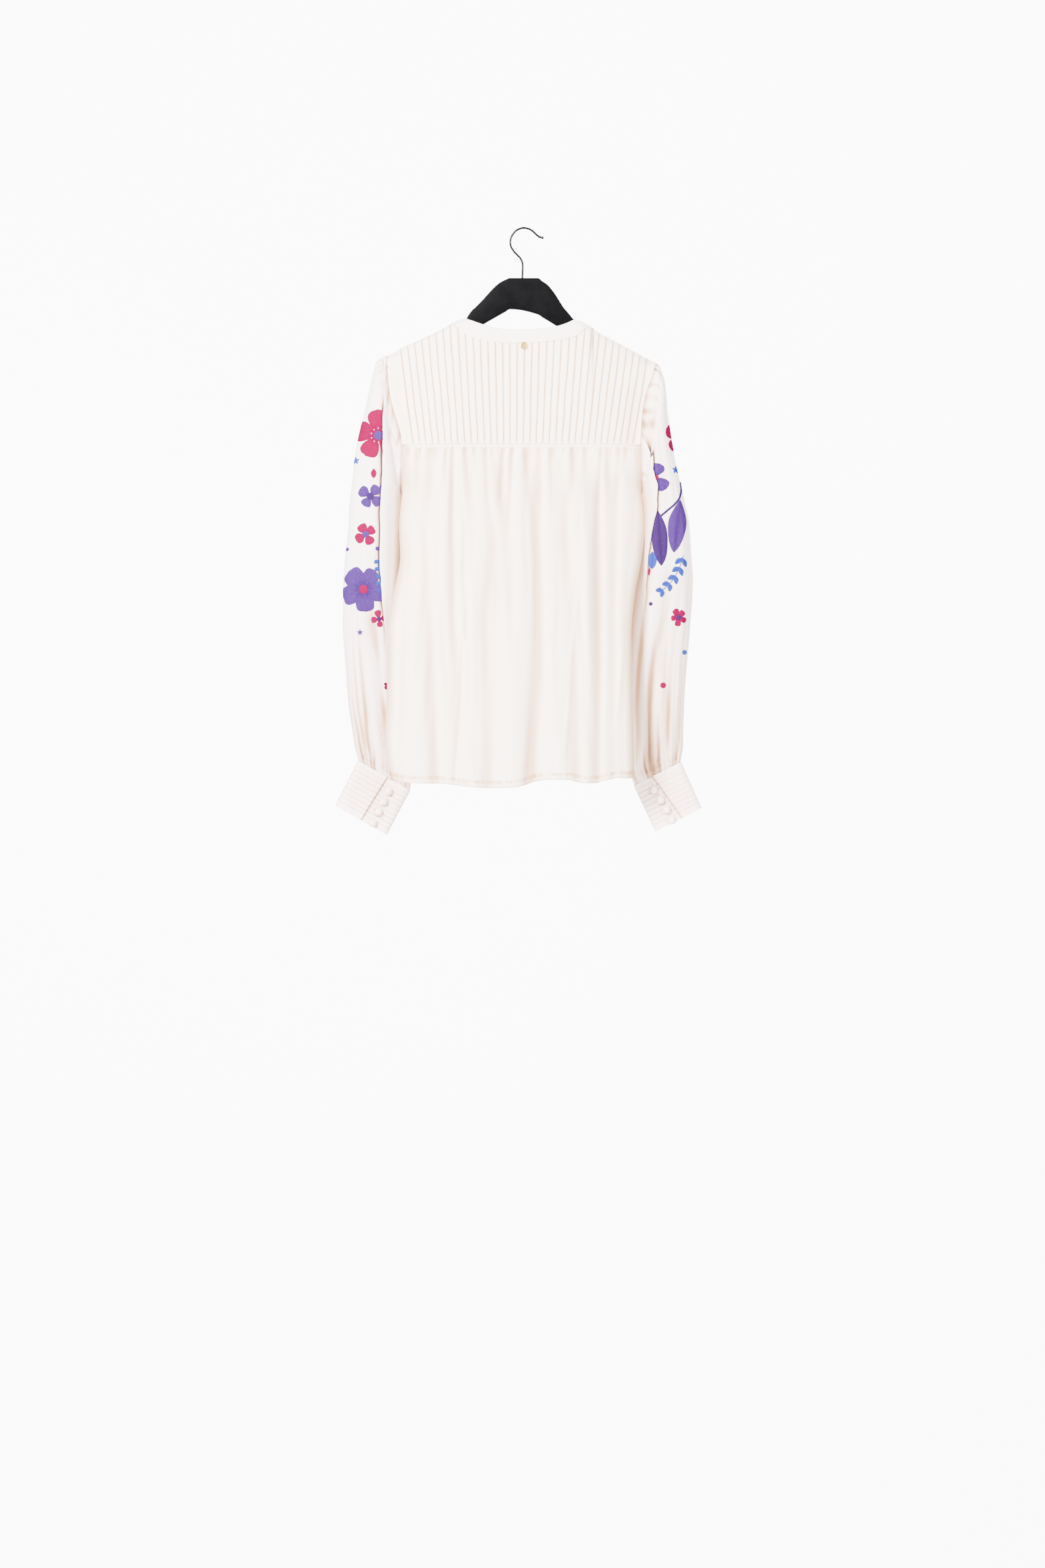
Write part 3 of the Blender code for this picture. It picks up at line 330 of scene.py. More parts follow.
# neckband: one strip from the left front round the back to the right front
def band_grid():
    low, high = [], []
    left = [p for p in front_grid(1)[0][::-1] if abs(p[0]) < 97.4]
    right = [p for p in front_grid(-1)[0] if abs(p[0]) < 97.4]
    back = (94.5, 86, 74, 56, 38, 19, 0, -19, -38, -56, -74, -86, -94.5)

    def front_points(points):
        for x, y, z in points:
            f = float(smooth(30, 97.5, abs(x)))
            low.append((x, y, z + SEAM))
            high.append((x * (1 - 0.16 * f), (y + 1.0) * (1 - 0.12 * f), z + BAND_W * (1 - 0.55 * f)))

    def side_point(x):
        low.append((x, 0.0, float(shoulder_z(x))))
        high.append((x * 0.84, 0.0, float(table(BAND_BACK, "x_top", "z_top", x * 0.84))))

    front_points(left)
    side_point(97.5)
    for x in back:
        y = float(neck_back_y(x))
        low.append((x, y, float(top_back(x))))
        high.append((x * 0.84, y * 0.92, float(table(BAND_BACK, "x_top", "z_top", x * 0.84))))
    side_point(-97.5)
    front_points(right)
    low, high = np.array(low), np.array(high)
    away = 0.6 + 0.6 * smooth(78, 94, np.abs(low[:, :1]))
    low = low + (high - low) / np.linalg.norm(high - low, axis=1, keepdims=True) * away
    return np.array([high, low + (high - low) * 0.5, low])


def cuff_path(lap):
    """Section of a cuff: (share of the width, depth share) from the overlap edge round to the end of the underlap."""
    front = [(s, 1.0) for s in (lap, (lap + 0.12) / 2, 0.12)]
    round_out = [(0.03, 0.72), (0.0, 0.0), (0.03, -0.72)]
    far = [(0.14, -1.0), (0.5, -1.0), (0.86, -1.0)]
    round_in = [(0.97, -0.72), (1.0, -0.05), (0.97, 0.50)]
    under = [(0.88, 0.74), ((lap + 0.66) / 2, 0.76), (lap - 0.16, 0.76)]
    return front + round_out + far + round_in + under


def cuff_y(c, x, z):
    return c["y"] + CUFF_HALF_DEPTH


# ---------------------------------------------------------------- helpers
def noise1(seed, v):
    r = np.random.RandomState(seed).uniform(-1, 1, 1024)
    v = np.asarray(v, float)
    i = np.floor(v).astype(int)
    f = v - i
    f = f * f * (3 - 2 * f)
    return r[i % 1024] * (1 - f) + r[(i + 1) % 1024] * f


def noise2(seed, u, v):
    r = np.random.RandomState(seed).uniform(-1, 1, (128, 128))
    u, v = np.broadcast_arrays(np.asarray(u, float), np.asarray(v, float))
    i, j = np.floor(u).astype(int), np.floor(v).astype(int)
    f, g = u - i, v - j
    f, g = f * f * (3 - 2 * f), g * g * (3 - 2 * g)
    a, b = i % 128, (i + 1) % 128
    c, d = j % 128, (j + 1) % 128
    return (r[a, c] * (1 - f) + r[b, c] * f) * (1 - g) + (r[a, d] * (1 - f) + r[b, d] * f) * g


def tree(mat):
    mat.use_nodes = True
    nodes, links = mat.node_tree.nodes, mat.node_tree.links
    return nodes, links, nodes["Principled BSDF"]


def put(node, **values):
    for key, value in values.items():
        node.inputs[key.replace("_", " ")].default_value = value


def cloth_material(name, tint, weave=900.0, strength=0.10, painted_shade_strength=1.0):
    """Fine matt crepe. The attribute "fold" paints shade into the base colour: 0 on open cloth, 1 a painted
    orange-brown shade in a hollow and 2 a painted near-black shadow in the slit of a fold.
    """
    mat = bpy.data.materials.new(name)
    nodes, links, p = tree(mat)
    put(p, Roughness=0.82, Specular_IOR_Level=0.18, Sheen_Weight=0.12, Sheen_Roughness=0.5)
    fold = nodes.new("ShaderNodeAttribute")
    fold.attribute_name = "fold"
    scale = nodes.new("ShaderNodeMath")
    scale.operation = "MULTIPLY"
    scale.use_clamp = True
    scale.inputs[1].default_value = painted_shade_strength / 2
    links.new(fold.outputs["Fac"], scale.inputs[0])
    ramp = nodes.new("ShaderNodeValToRGB")
    # painted shade: the ramp turns the tint orange-brown in hollows and near black in the slits of folds
    painted_shade_stops = ((0.0, (1.0, 1.0, 1.0)), (0.2, (0.84, 0.73, 0.64)), (0.5, (0.52, 0.33, 0.17)), (1.0, (0.07, 0.045, 0.06)))
    while len(ramp.color_ramp.elements) < len(painted_shade_stops):
        ramp.color_ramp.elements.new(0.5)
    for e, (at, part) in zip(ramp.color_ramp.elements, painted_shade_stops):
        e.position = at
        e.color = (tint[0] * part[0], tint[1] * part[1], tint[2] * part[2], 1)
    links.new(scale.outputs[0], ramp.inputs["Fac"])
    coord = nodes.new("ShaderNodeTexCoord")
    slub = nodes.new("ShaderNodeTexNoise")
    put(slub, Scale=26.0, Detail=3.0, Roughness=0.6)
    links.new(coord.outputs["Object"], slub.inputs["Vector"])
    tone = nodes.new("ShaderNodeMapRange")
    put(tone, From_Min=0.3, From_Max=0.7, To_Min=0.975, To_Max=1.0)
    links.new(slub.outputs["Fac"], tone.inputs["Value"])
    shade = nodes.new("ShaderNodeMix")
    shade.data_type = "RGBA"
    shade.blend_type = "MULTIPLY"
    shade.inputs["Factor"].default_value = 1.0
    links.new(ramp.outputs["Color"], shade.inputs["A"])
    links.new(tone.outputs["Result"], shade.inputs["B"])
    links.new(shade.outputs["Result"], p.inputs["Base Color"])
    crepe = nodes.new("ShaderNodeTexNoise")
    put(crepe, Scale=weave, Detail=2.0, Roughness=0.7)
    links.new(coord.outputs["Object"], crepe.inputs["Vector"])
    bump = nodes.new("ShaderNodeBump")
    put(bump, Strength=strength, Distance=0.0004)
    links.new(crepe.outputs["Fac"], bump.inputs["Height"])
    links.new(bump.outputs["Normal"], p.inputs["Normal"])
    return mat


def thread_material(name, colour, dark, stitch=21.0):
    """Satin stitch: fine threads along the motif, tone changing from one to the next, darker where the attribute "fold" says."""
    mat = bpy.data.materials.new(name)
    nodes, links, p = tree(mat)
    put(p, Roughness=0.85, Specular_IOR_Level=0.0)
    uv = nodes.new("ShaderNodeUVMap")
    uv.uv_map = "stitch"
    wave = nodes.new("ShaderNodeTexWave")
    wave.wave_type = "BANDS"
    wave.bands_direction = "X"
    put(wave, Scale=stitch, Distortion=3.0, Detail=2.0, Detail_Scale=1.6)
    links.new(uv.outputs["UV"], wave.inputs["Vector"])
    spread = nodes.new("ShaderNodeMapping")
    spread.inputs["Scale"].default_value = (110, 14, 1)
    links.new(uv.outputs["UV"], spread.inputs["Vector"])
    strand = nodes.new("ShaderNodeTexNoise")
    put(strand, Scale=1.0, Detail=2.0)
    links.new(spread.outputs["Vector"], strand.inputs["Vector"])
    tone = nodes.new("ShaderNodeMapRange")
    put(tone, From_Min=0.35, From_Max=0.62)
    links.new(strand.outputs["Fac"], tone.inputs["Value"])
    deep = nodes.new("ShaderNodeAttribute")
    deep.attribute_name = "fold"
    half = nodes.new("ShaderNodeMath")
    half.operation = "MULTIPLY"
    half.inputs[1].default_value = 0.5
    links.new(tone.outputs["Result"], half.inputs[0])
    both = nodes.new("ShaderNodeMath")
    both.operation = "MULTIPLY_ADD"
    both.inputs[1].default_value = 0.5
    links.new(wave.outputs["Fac"], both.inputs[0])
    links.new(half.outputs[0], both.inputs[2])
    less = nodes.new("ShaderNodeMath")
    less.operation = "SUBTRACT"
    less.use_clamp = True
    links.new(both.outputs[0], less.inputs[0])
    links.new(deep.outputs["Fac"], less.inputs[1])
    mix = nodes.new("ShaderNodeMix")
    mix.data_type = "RGBA"
    mix.inputs["A"].default_value = (*dark, 1)
    mix.inputs["B"].default_value = (*colour, 1)
    links.new(less.outputs[0], mix.inputs["Factor"])
    links.new(mix.outputs["Result"], p.inputs["Base Color"])
    bump = nodes.new("ShaderNodeBump")
    put(bump, Strength=0.7, Distance=0.0005)
    links.new(wave.outputs["Fac"], bump.inputs["Height"])
    links.new(bump.outputs["Normal"], p.inputs["Normal"])
    return mat


def build(name, verts, quads, mat, flat=False, fold=None, uv=None):
    """A mesh in metres from arrays in millimetres."""
    mesh = bpy.data.meshes.new(name)
    verts = np.asarray(verts, np.float32) * 0.001
    quads = np.asarray(quads, np.int32)
    mesh.vertices.add(len(verts))
    mesh.vertices.foreach_set("co", verts.reshape(-1))
    mesh.loops.add(quads.size)
    mesh.loops.foreach_set("vertex_index", quads.reshape(-1))
    mesh.polygons.add(len(quads))
    mesh.polygons.foreach_set("loop_start", np.arange(0, quads.size, quads.shape[1], dtype=np.int32))
    mesh.polygons.foreach_set("use_smooth", np.full(len(quads), not flat))
    # the "fold" attribute darkens the base colour in the materials; on the cloth pieces it is painted shade
    if fold is not None:
        a = mesh.attributes.new("fold", "FLOAT", "POINT")
        a.data.foreach_set("value", np.asarray(fold, np.float32))
    if uv is not None:
        layer = mesh.uv_layers.new(name="stitch")
        layer.data.foreach_set("uv", np.asarray(uv, np.float32)[quads.reshape(-1)].reshape(-1))
    mesh.update(calc_edges=True)
    mesh.validate()
    obj = bpy.data.objects.new(name, mesh)
    obj.data.materials.append(mat)
    bpy.context.scene.collection.objects.link(obj)
    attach(obj, "root")
    return obj


def shell(name, grid, mat, replaces, wrap=False, outward=None, wall=0.7, fold=None, gain=0.6, scales=((2, 0.35, 0.25), (6, 1.3, 0.40), (12, 3.0, 0.35))):
    """A thin closed wall of cloth: the grid is its outer face."""
    rows, cols = grid.shape[:2]
    du = (np.roll(grid, -1, 1) - np.roll(grid, 1, 1)) / 2 if wrap else np.gradient(grid, axis=1)
    n = np.cross(du, np.gradient(grid, axis=0))
    for _ in range(2):      # softened, so that the inner face doesn't cross itself in a crease
        m = n.copy()
        m[1:-1] += n[2:] + n[:-2]
        m[:, 1:-1] += n[:, 2:] + n[:, :-2]
        n = m / np.maximum(np.linalg.norm(m, axis=2, keepdims=True), 1e-9)
    mid = grid.reshape(-1, 3).mean(axis=0)
    want = grid - mid if outward is None else np.broadcast_to(np.array(outward, float), grid.shape)
    if (n * want).sum() < 0:
        n = -n
    inner = grid - n * wall
    verts = np.concatenate([grid.reshape(-1, 3), inner.reshape(-1, 3)])
    half = rows * cols
    span = cols if wrap else cols - 1
    r, c = np.meshgrid(np.arange(rows - 1), np.arange(span), indexing="ij")
    d = (c + 1) % cols
    a, b, e, f = r * cols + c, r * cols + d, (r + 1) * cols + d, (r + 1) * cols + c
    outer = np.stack([a, b, e, f], -1).reshape(-1, 4)
    faces = [outer, outer[:, ::-1] + half]
    c = np.arange(span)
    d = (c + 1) % cols
    faces.append(np.stack([half + c, half + d, d, c], -1))
    k = (rows - 1) * cols
    faces.append(np.stack([k + c, k + d, half + k + d, half + k + c], -1))
    if not wrap:
        r = np.arange(rows - 1)
        a, f = r * cols, (r + 1) * cols
        faces.append(np.stack([a, f, half + f, half + a], -1))
        b, e = a + cols - 1, f + cols - 1
        faces.append(np.stack([half + b, half + e, e, b], -1))
    faces = np.concatenate(faces)
    q = verts[faces]
    volume = np.einsum("ij,ij->", q[:, 0], np.cross(q[:, 1], q[:, 2])) + np.einsum("ij,ij->", q[:, 0], np.cross(q[:, 2], q[:, 3]))
    if volume < 0:
        faces = faces[:, ::-1]
    # painted shade: the darkening of hollows plus each piece's own painted fold shade, stored as the "fold" attribute
    shade = np.clip(gain * hollows(grid, n, wrap, scales), 0, 0.55) + (0.0 if fold is None else fold)
    shade = np.clip(shade, 0, 2).reshape(-1)
    obj = build(name, verts, faces, mat, fold=np.concatenate([shade, shade]))
    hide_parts(replaces)
    return obj


def blurred(a, cells, wrap):
    """Mean over a window of 2 cells + 1 along and across, by running sums."""
    for axis, around in ((1, wrap), (0, False)):
        pad = [(0, 0)] * a.ndim
        pad[axis] = (cells + 1, cells)
        b = np.pad(a, pad, mode="wrap" if around else "reflect", reflect_type="odd") if not around else np.pad(a, pad, mode="wrap")
        c = np.cumsum(b, axis=axis)
        n = a.shape[axis]
        hi = np.take(c, np.arange(n) + 2 * cells + 1, axis=axis)
        lo = np.take(c, np.arange(n), axis=axis)
        a = (hi - lo) / (2 * cells + 1)
    return a


def hollows(grid, n, wrap, scales):
    """How far each point lies below the cloth around it, as a shade from 0 to 1."""
    out = np.zeros(grid.shape[:2])
    for cells, depth, weight in scales:
        below = ((blurred(grid, cells, wrap) - grid) * n).sum(2)
        out += weight * np.clip(below / depth, 0, 1.3)
    return out


def area_of(grid, wrap=False):
    """Area of a grid of points, in square metres."""
    g = np.concatenate([grid, grid[:, :1]], axis=1) if wrap else grid
    a, b, c, d = g[:-1, :-1], g[:-1, 1:], g[1:, 1:], g[1:, :-1]
    one = np.linalg.norm(np.cross(b - a, c - a), axis=2).sum() + np.linalg.norm(np.cross(c - a, d - a), axis=2).sum()
    return one / 2 * 1e-6


# ---------------------------------------------------------------- back yoke
WALK = (0.0, 0.025, 0.05, 0.08, 0.12, 0.17, 0.24, 0.34, 0.48, 0.64, 0.80, 0.92, 0.975)


def fine_yoke(rows=64):
    half = TUCKS // 2
    t = np.linspace(0, 1, rows) ** 1.25
    cols, kinds = [], []
    for s in np.linspace(0, 1, 11)[:-1]:
        kinds.append(("left", s))
    for j in range(half, -half, -1):
        kinds += [("tuck", j, s) for s in WALK]
    kinds.append(("tuck", -half, 0.0))
    kinds += [("tuck", -half, s) for s in (0.025, 0.05, 0.08, 0.12, 0.17, 0.24, 0.32)]
    for s in np.linspace(0.4, 1, 9):
        kinds.append(("right", s))
    grid = np.zeros((rows, len(kinds), 3))
    fold = np.zeros((rows, len(kinds)))

    def wander(j, z):
        return 0.42 * noise1(40 + j % 7, z / 37.0 + j * 3.1) + 0.18 * noise1(60, z / 11.0 + j * 5.3)

    def x_of(kind, z):
        if kind[0] == "tuck":
            j, s = kind[1], kind[2]
            a = tuck_x(j, z) + wander(j, z)
            b = tuck_x(j - 1, z) + wander(j - 1, z)
            return a + (b - a) * s
        if kind[0] == "left":
            e = ease(-z, -np.array(ARMHOLE_L["z"]), ARMHOLE_L["x"])
            return e + (tuck_x(half, z) + wander(half, z) - e) * kind[1]
        e = ease(-z, -np.array(ARMHOLE_R["z"]), ARMHOLE_R["x"])
        a = tuck_x(-half, z) + wander(-half, z)
        b = a - TUCK_SEAM * 0.32
        return b + (e - b) * (kind[1] - 0.34) / 0.66

    for c, kind in enumerate(kinds):
        z_top = -165.0
        for _ in range(14):
            z_top = 0.4 * z_top + 0.6 * float(top_back(float(x_of(kind, np.array(z_top)))))
        if c == 0:
            z_top = ARMHOLE_L["z"][0]
        if c == len(kinds) - 1:
            z_top = ARMHOLE_R["z"][0]
        z = z_top + (YOKE_Z + 0.2 - z_top) * t
        x = x_of(kind, z)
        y = back_y(x, z)
        gap = 9.4
        if kind[0] == "tuck":
            f = kind[2] * gap
            ease_in = 0.75 + 0.25 * noise1(70 + kind[1] % 5, z / 23.0 + kind[1])
            press = 1 - np.exp(-(np.maximum(z - YOKE_Z, 0) / 2.6) ** 2)
            ridge = np.where(f < 0.3, f / 0.3, np.exp(-(((f - 0.45) / 0.9) ** 2))) * 0.95 * ease_in * press
            groove = (-0.85 * np.exp(-((f / 0.30) ** 2)) - 0.6 * np.exp(-(((gap - f) / 0.8) ** 2))) * press
            puff = 0.22 * np.sin(math.pi * kind[2]) * press
            pucker = 0.10 * noise1(80 + kind[1] % 9, z / 3.1) * math.exp(-f / 2.2)
            y = y + ridge + groove + puff + pucker
            # painted shade along each tuck's crease and at the foot of the next tuck
            fold[:, c] = (1.05 * math.exp(-((f / 0.62) ** 2)) + 0.92 * math.exp(-(((gap - f) / 0.78) ** 2))) * (0.55 + 0.55 * ease_in) * press
        y = y + (0.5 * noise2(5, x / 46.0, z / 60.0) + 0.12 * noise2(6, x / 9.0, z / 26.0)) * smooth(0.0, 14.0, z - YOKE_Z)
        grid[:, c] = np.stack([x, y, z], 1)
    return grid, fold


# ---------------------------------------------------------------- gathered back panel
def gathers(x, drop, seed, count, lo, hi, amp=(0.5, 1.5), length=(18, 80), width=(1.3, 3.0)):
    """Small uneven troughs that start at a seam and fade with the drop below it."""
    r = np.random.RandomState(seed)
    out = np.zeros(np.broadcast(x, drop).shape)
    at = np.linspace(lo, hi, count) + r.uniform(-0.45, 0.45, count) * (hi - lo) / count
    for i in range(count):
        a, ln, w = r.uniform(*amp), r.uniform(*length), r.uniform(*width)
        lean = r.uniform(-0.07, 0.07)
        wide = w * (1 + 1.6 * np.clip(drop / ln, 0, 2))
        away = x - at[i] - lean * drop
        fade = np.exp(-((drop / ln) ** 1.5))
        out = out - a * fade * np.exp(-((away / wide) ** 2)) + 0.35 * a * fade * np.exp(-(((away - 2 * wide) / wide) ** 2))
    return out


def wrinkles(x, z, seed, count, x_lo, x_hi, z_lo, z_hi, amp=(0.4, 1.3), length=(60, 220), width=(3, 8)):
    """Long soft uneven creases, mostly upright."""
    r = np.random.RandomState(seed)
    out = np.zeros(np.broadcast(x, z).shape)
    for i in range(count):
        cx, cz = r.uniform(x_lo, x_hi), r.uniform(z_lo, z_hi)
        a, ln, w, lean = r.uniform(*amp), r.uniform(*length), r.uniform(*width), r.uniform(-0.10, 0.10)
        bend = 2.5 * noise1(seed + i, z / 60.0)
        away = x - cx - lean * (z - cz) - bend
        out = out + a * r.choice([-1, -1, 1]) * np.exp(-((away / w) ** 2)) * np.exp(-(((z - cz) / ln) ** 2))
    return out


def hem_relief(x, up, seed):
    """A narrow turned hem: double cloth, a stitched line and its small puckers."""
    turned = 0.45 * (1 - smooth(6.5, 8.0, up))
    line = -0.40 * np.exp(-(((up - 7.6) / 0.75) ** 2)) * (0.7 + 0.5 * noise1(seed, x / 1.9))
    pucker = 0.30 * noise1(seed + 1, x / 2.9 + up * 0.06) * np.exp(-((up - 4.0) / 7.0) ** 2)
    return turned + line + pucker


def fine_panel(rows=170, cols=230):
    s = np.linspace(-1, 1, cols)
    u = s * 1.42 - 0.42 * s ** 3
    t = np.linspace(0, 1, rows)
    t = 0.62 * t + 0.38 * t ** 2
    grid = np.zeros((rows, cols, 3))
    z_hem = ease(-(168 * u) * -1, HEM["x"], HEM["z"])
    for r in range(rows):
        x = None
        z = YOKE_Z + 1.6 + (z_hem - YOKE_Z - 1.6) * t[r]
        left, right = down(BODY, "left", z), down(BODY, "right", z)
        x = (left + right) / 2 + (left - right) / 2 * u
        z = YOKE_Z + 1.6 + (ease(x, HEM["x"], HEM["z"]) - YOKE_Z - 1.6) * t[r]
        grid[r, :, 0], grid[r, :, 2] = x, z
    x, z = grid[..., 0], grid[..., 2]
    cover = 1 - smooth(0.90, 1.0, np.abs(u))[None]
    deep = folds(BACK_FOLDS, x, z, -403.2, -564.2, -747.3, -310.0)
    drop = np.maximum(YOKE_Z - z, 0.0)
    g = gathers(x, drop, 11, 60, -162, 166, amp=(0.6, 1.8), length=(10, 62))
    g = g + gathers(x, drop, 12, 24, -160, 164, amp=(0.9, 2.6), length=(50, 170), width=(2.2, 4.5))
    g = g * smooth(0.3, 7.0, drop)
    w = wrinkles(x, z, 21, 52, -150, 180, -740, -330, amp=(0.7, 2.2), width=(3.0, 9.0))
    up = z - ease(x, HEM["x"], HEM["z"])
    y = back_y(x, z) - deep * 1.25 * cover * smooth(-1.0, 8.0, drop) + (1.2 * smooth(0, 26, drop) + g + w * smooth(0, 20, drop)) * np.maximum(cover, 0.15)
    y = y + 0.8 * noise2(8, x / 40.0, z / 95.0) * cover * smooth(0, 20, drop) + hem_relief(x, up, 31) * (0.3 + 0.7 * cover)
    y = y + (0.75 * np.exp(-(((YOKE_Z - z - 2.0) / 1.5) ** 2)) - 0.9 * (1 - smooth(-1.6, 0.4, YOKE_Z - z))) * cover
    grid[..., 1] = y + SEAM / 2
    # painted shade: in the deep folds and gathers, under the yoke seam, in the hem's stitched groove and puckers, and
    # along both side edges
    fold = np.clip(deep / 40.0, 0, 0.20) * cover + np.clip(-g / 6.0, 0, 0.30) * cover + 0.22 * np.exp(-((drop / 0.7) ** 2))
    fold = fold + (0.40 + 0.40 * noise1(33, x / 2.1)) * np.exp(-(((up - 7.6) / 0.9) ** 2)) + 0.35 * np.clip(noise1(34, x / 2.4), 0, 1) * np.exp(-(((up - 4.5) / 3.5) ** 2)) + 0.75 * smooth(0.90, 1.0, np.abs(u))[None]
    return grid, fold


# ---------------------------------------------------------------- fronts
def fine_front(side, rows=120, cols=92):
    lap = -side * FRONT_LAP
    arm = ARMHOLE_L if side > 0 else ARMHOLE_R
    edge = "left" if side > 0 else "right"
    share = np.linspace(0, 1, cols)
    share = share + 0.10 * np.sin(math.pi * 2 * share) * -0.35
    t = np.linspace(0, 1, rows)
    t = 0.6 * t + 0.4 * t ** 2.2
    grid = np.zeros((rows, cols, 3))

    def x_at(sh, z):
        outer = np.where(z > YOKE_Z, ease(-z, -np.array(arm["z"]), arm["x"]), down(BODY, edge, z))
        return outer + (lap - outer) * sh

    z_top = np.full(cols, -175.0)
    for _ in range(40):
        z_top = 0.5 * z_top + 0.5 * top_front(x_at(share, z_top))
    z_top[0] = arm["z"][0]
    z_top -= SEAM
    z_low = ease(x_at(share, np.full(cols, -768.0)), HEM["x"], HEM["z"])
    for r in range(rows):
        z = z_top + (z_low - z_top) * t[r]
        grid[r, :, 0], grid[r, :, 2] = x_at(share, z), z
    x, z = grid[..., 0], grid[..., 2]
    deep = folds(FRONT_FOLDS, x, z, -403.2, -564.2, -747.3, -300.0)
    cover = smooth(0.0, 0.10, share)[None]
    neck_drop = np.maximum(top_front(x) - z, 0)
    g = gathers(x, neck_drop, 51 + side, 26, min(lap, side * 95), max(lap, side * 95), amp=(0.3, 0.9), length=(20, 70)) * smooth(100, 84, np.abs(x))
    w = wrinkles(x, z, 61 + side, 30, min(0, side * 170), max(0, side * 170), -740, -260, amp=(0.6, 2.0), width=(3.0, 9.0))
    up = z - ease(x, HEM["x"], HEM["z"])
    turn = 0.45 * smooth(24.0, 25.0, np.abs(x - lap)) - 0.35 * np.exp(-(((np.abs(x - lap) - 23.5) / 0.8) ** 2))
    y = front_y(x, z) + (deep - g - w) * cover + turn * 0.6
    y = y - hem_relief(x, up, 71) * cover
    if side < 0:
        y = y - LAP_STEP * smooth(-34, -16, x)
    grid[..., 1] = y - SEAM / 2
    # painted shade in the folds and in the gathers under the neck
    fold = np.clip(deep / 13.0, 0, 0.45) * cover + np.clip(-g / 4.0, 0, 0.4)
    return grid, fold


def fine_band(grid, rows=16, dense=10):
    """The neckband: the part's own strip, made finer, with its pressed edges rounded."""
    top, mid, low = grid
    n = len(top)
    k = np.linspace(0, n - 1, (n - 1) * dense + 1)
    out = np.zeros((rows, len(k), 3))
    v = np.linspace(0, 1, rows)
    a = np.stack([ease(k, np.arange(n), top[:, i]) for i in range(3)], 1)
    b = np.stack([ease(k, np.arange(n), low[:, i]) for i in range(3)], 1)
    b = b + (b - a) / np.linalg.norm(b - a, axis=1, keepdims=True) * 2.2
    along = np.gradient(a, axis=0)
    out_dir = np.cross(along, b - a)
    out_dir /= np.maximum(np.linalg.norm(out_dir, axis=1, keepdims=True), 1e-9)
    centre = np.array([0, 0, -180.0])
    if (out_dir * (a - centre) * (1, 1, 0)).sum() < 0:
        out_dir = -out_dir
    for r in range(rows):
        bulge = 0.55 * math.sin(math.pi * v[r]) + 0.9 * v[r] - 0.25 * math.exp(-(((v[r] - 0.86) / 0.035) ** 2))
        pucker = 0.10 * noise1(90, k * 1.9) * (v[r] > 0.7)
        out[r] = a + (b - a) * v[r] + out_dir * (bulge + pucker)[:, None] if np.ndim(pucker) else a + (b - a) * v[r] + out_dir * bulge
    return out


# ---------------------------------------------------------------- sleeves
FOLD_LINE_L = {  # the plain fold over the back of the left sleeve: height, X of its edge, how far it stands out
    "z":    (-215.0, -240.0, -262.0, -342.0, -380.0, -461.0, -507.0, -545.0, -600.0),
    "x":    (190.0, 191.5, 192.7, 192.9, 195.0, 196.2, 194.5, 192.0, 188.0),
    "rise": (0.0, 1.5, 4.0, 5.2, 5.4, 5.4, 4.4, 1.8, 0.0),
}
FOLD_LINE_R = {
    "z":    (-240.0, -268.0, -290.0, -318.0, -339.0, -362.0, -385.0, -415.0, -440.0, -480.0, -540.0),
    "x":    (-174.5, -174.8, -175.8, -176.4, -180.6, -186.2, -185.8, -182.2, -178.8, -176.0, -172.0),
    "rise": (0.0, 1.2, 3.6, 4.6, 5.2, 5.4, 5.4, 5.2, 4.4, 2.2, 0.0),
}
SLEEVE_LINES = {  # uneven long creases: angle at the head, the elbow and the cuff, depth there, width in degrees
    "a_high": (14, 28, 40, 52, 64, 76, 130, 150, 200, 225, 250, 272, 300, 325),
    "a_mid":  (20, 34, 48, 62, 74, 86, 128, 152, 204, 228, 250, 276, 302, 330),
    "a_low":  (20, 38, 55, 70, 86, 103, 124, 146, 206, 230, 252, 276, 304, 332),
    "d_high": (0.8, 1.2, 0.8, 1.2, 0.7, 1.0, 1.4, 0.8, 1.0, 1.5, 1.2, 1.4, 1.1, 0.9),
    "d_mid":  (1.0, 1.8, 1.2, 2.2, 1.2, 1.8, 2.0, 1.4, 1.8, 2.4, 2.0, 2.4, 2.0, 1.2),
    "d_low":  (2.2, 3.6, 3.0, 4.6, 3.4, 4.8, 3.4, 2.4, 2.4, 3.6, 3.0, 3.6, 3.0, 2.0),
    "width":  (5, 6, 5, 6, 5, 7, 7, 8, 9, 9, 8, 9, 9, 8),
}
CLIFF = (-0.20, -0.155, -0.12, -0.098, -0.082, -0.068, -0.054, -0.040, -0.025, -0.010, 0.0, 0.004, 0.012, 0.030, 0.062, 0.110)   # angles about the fold's edge, in radians


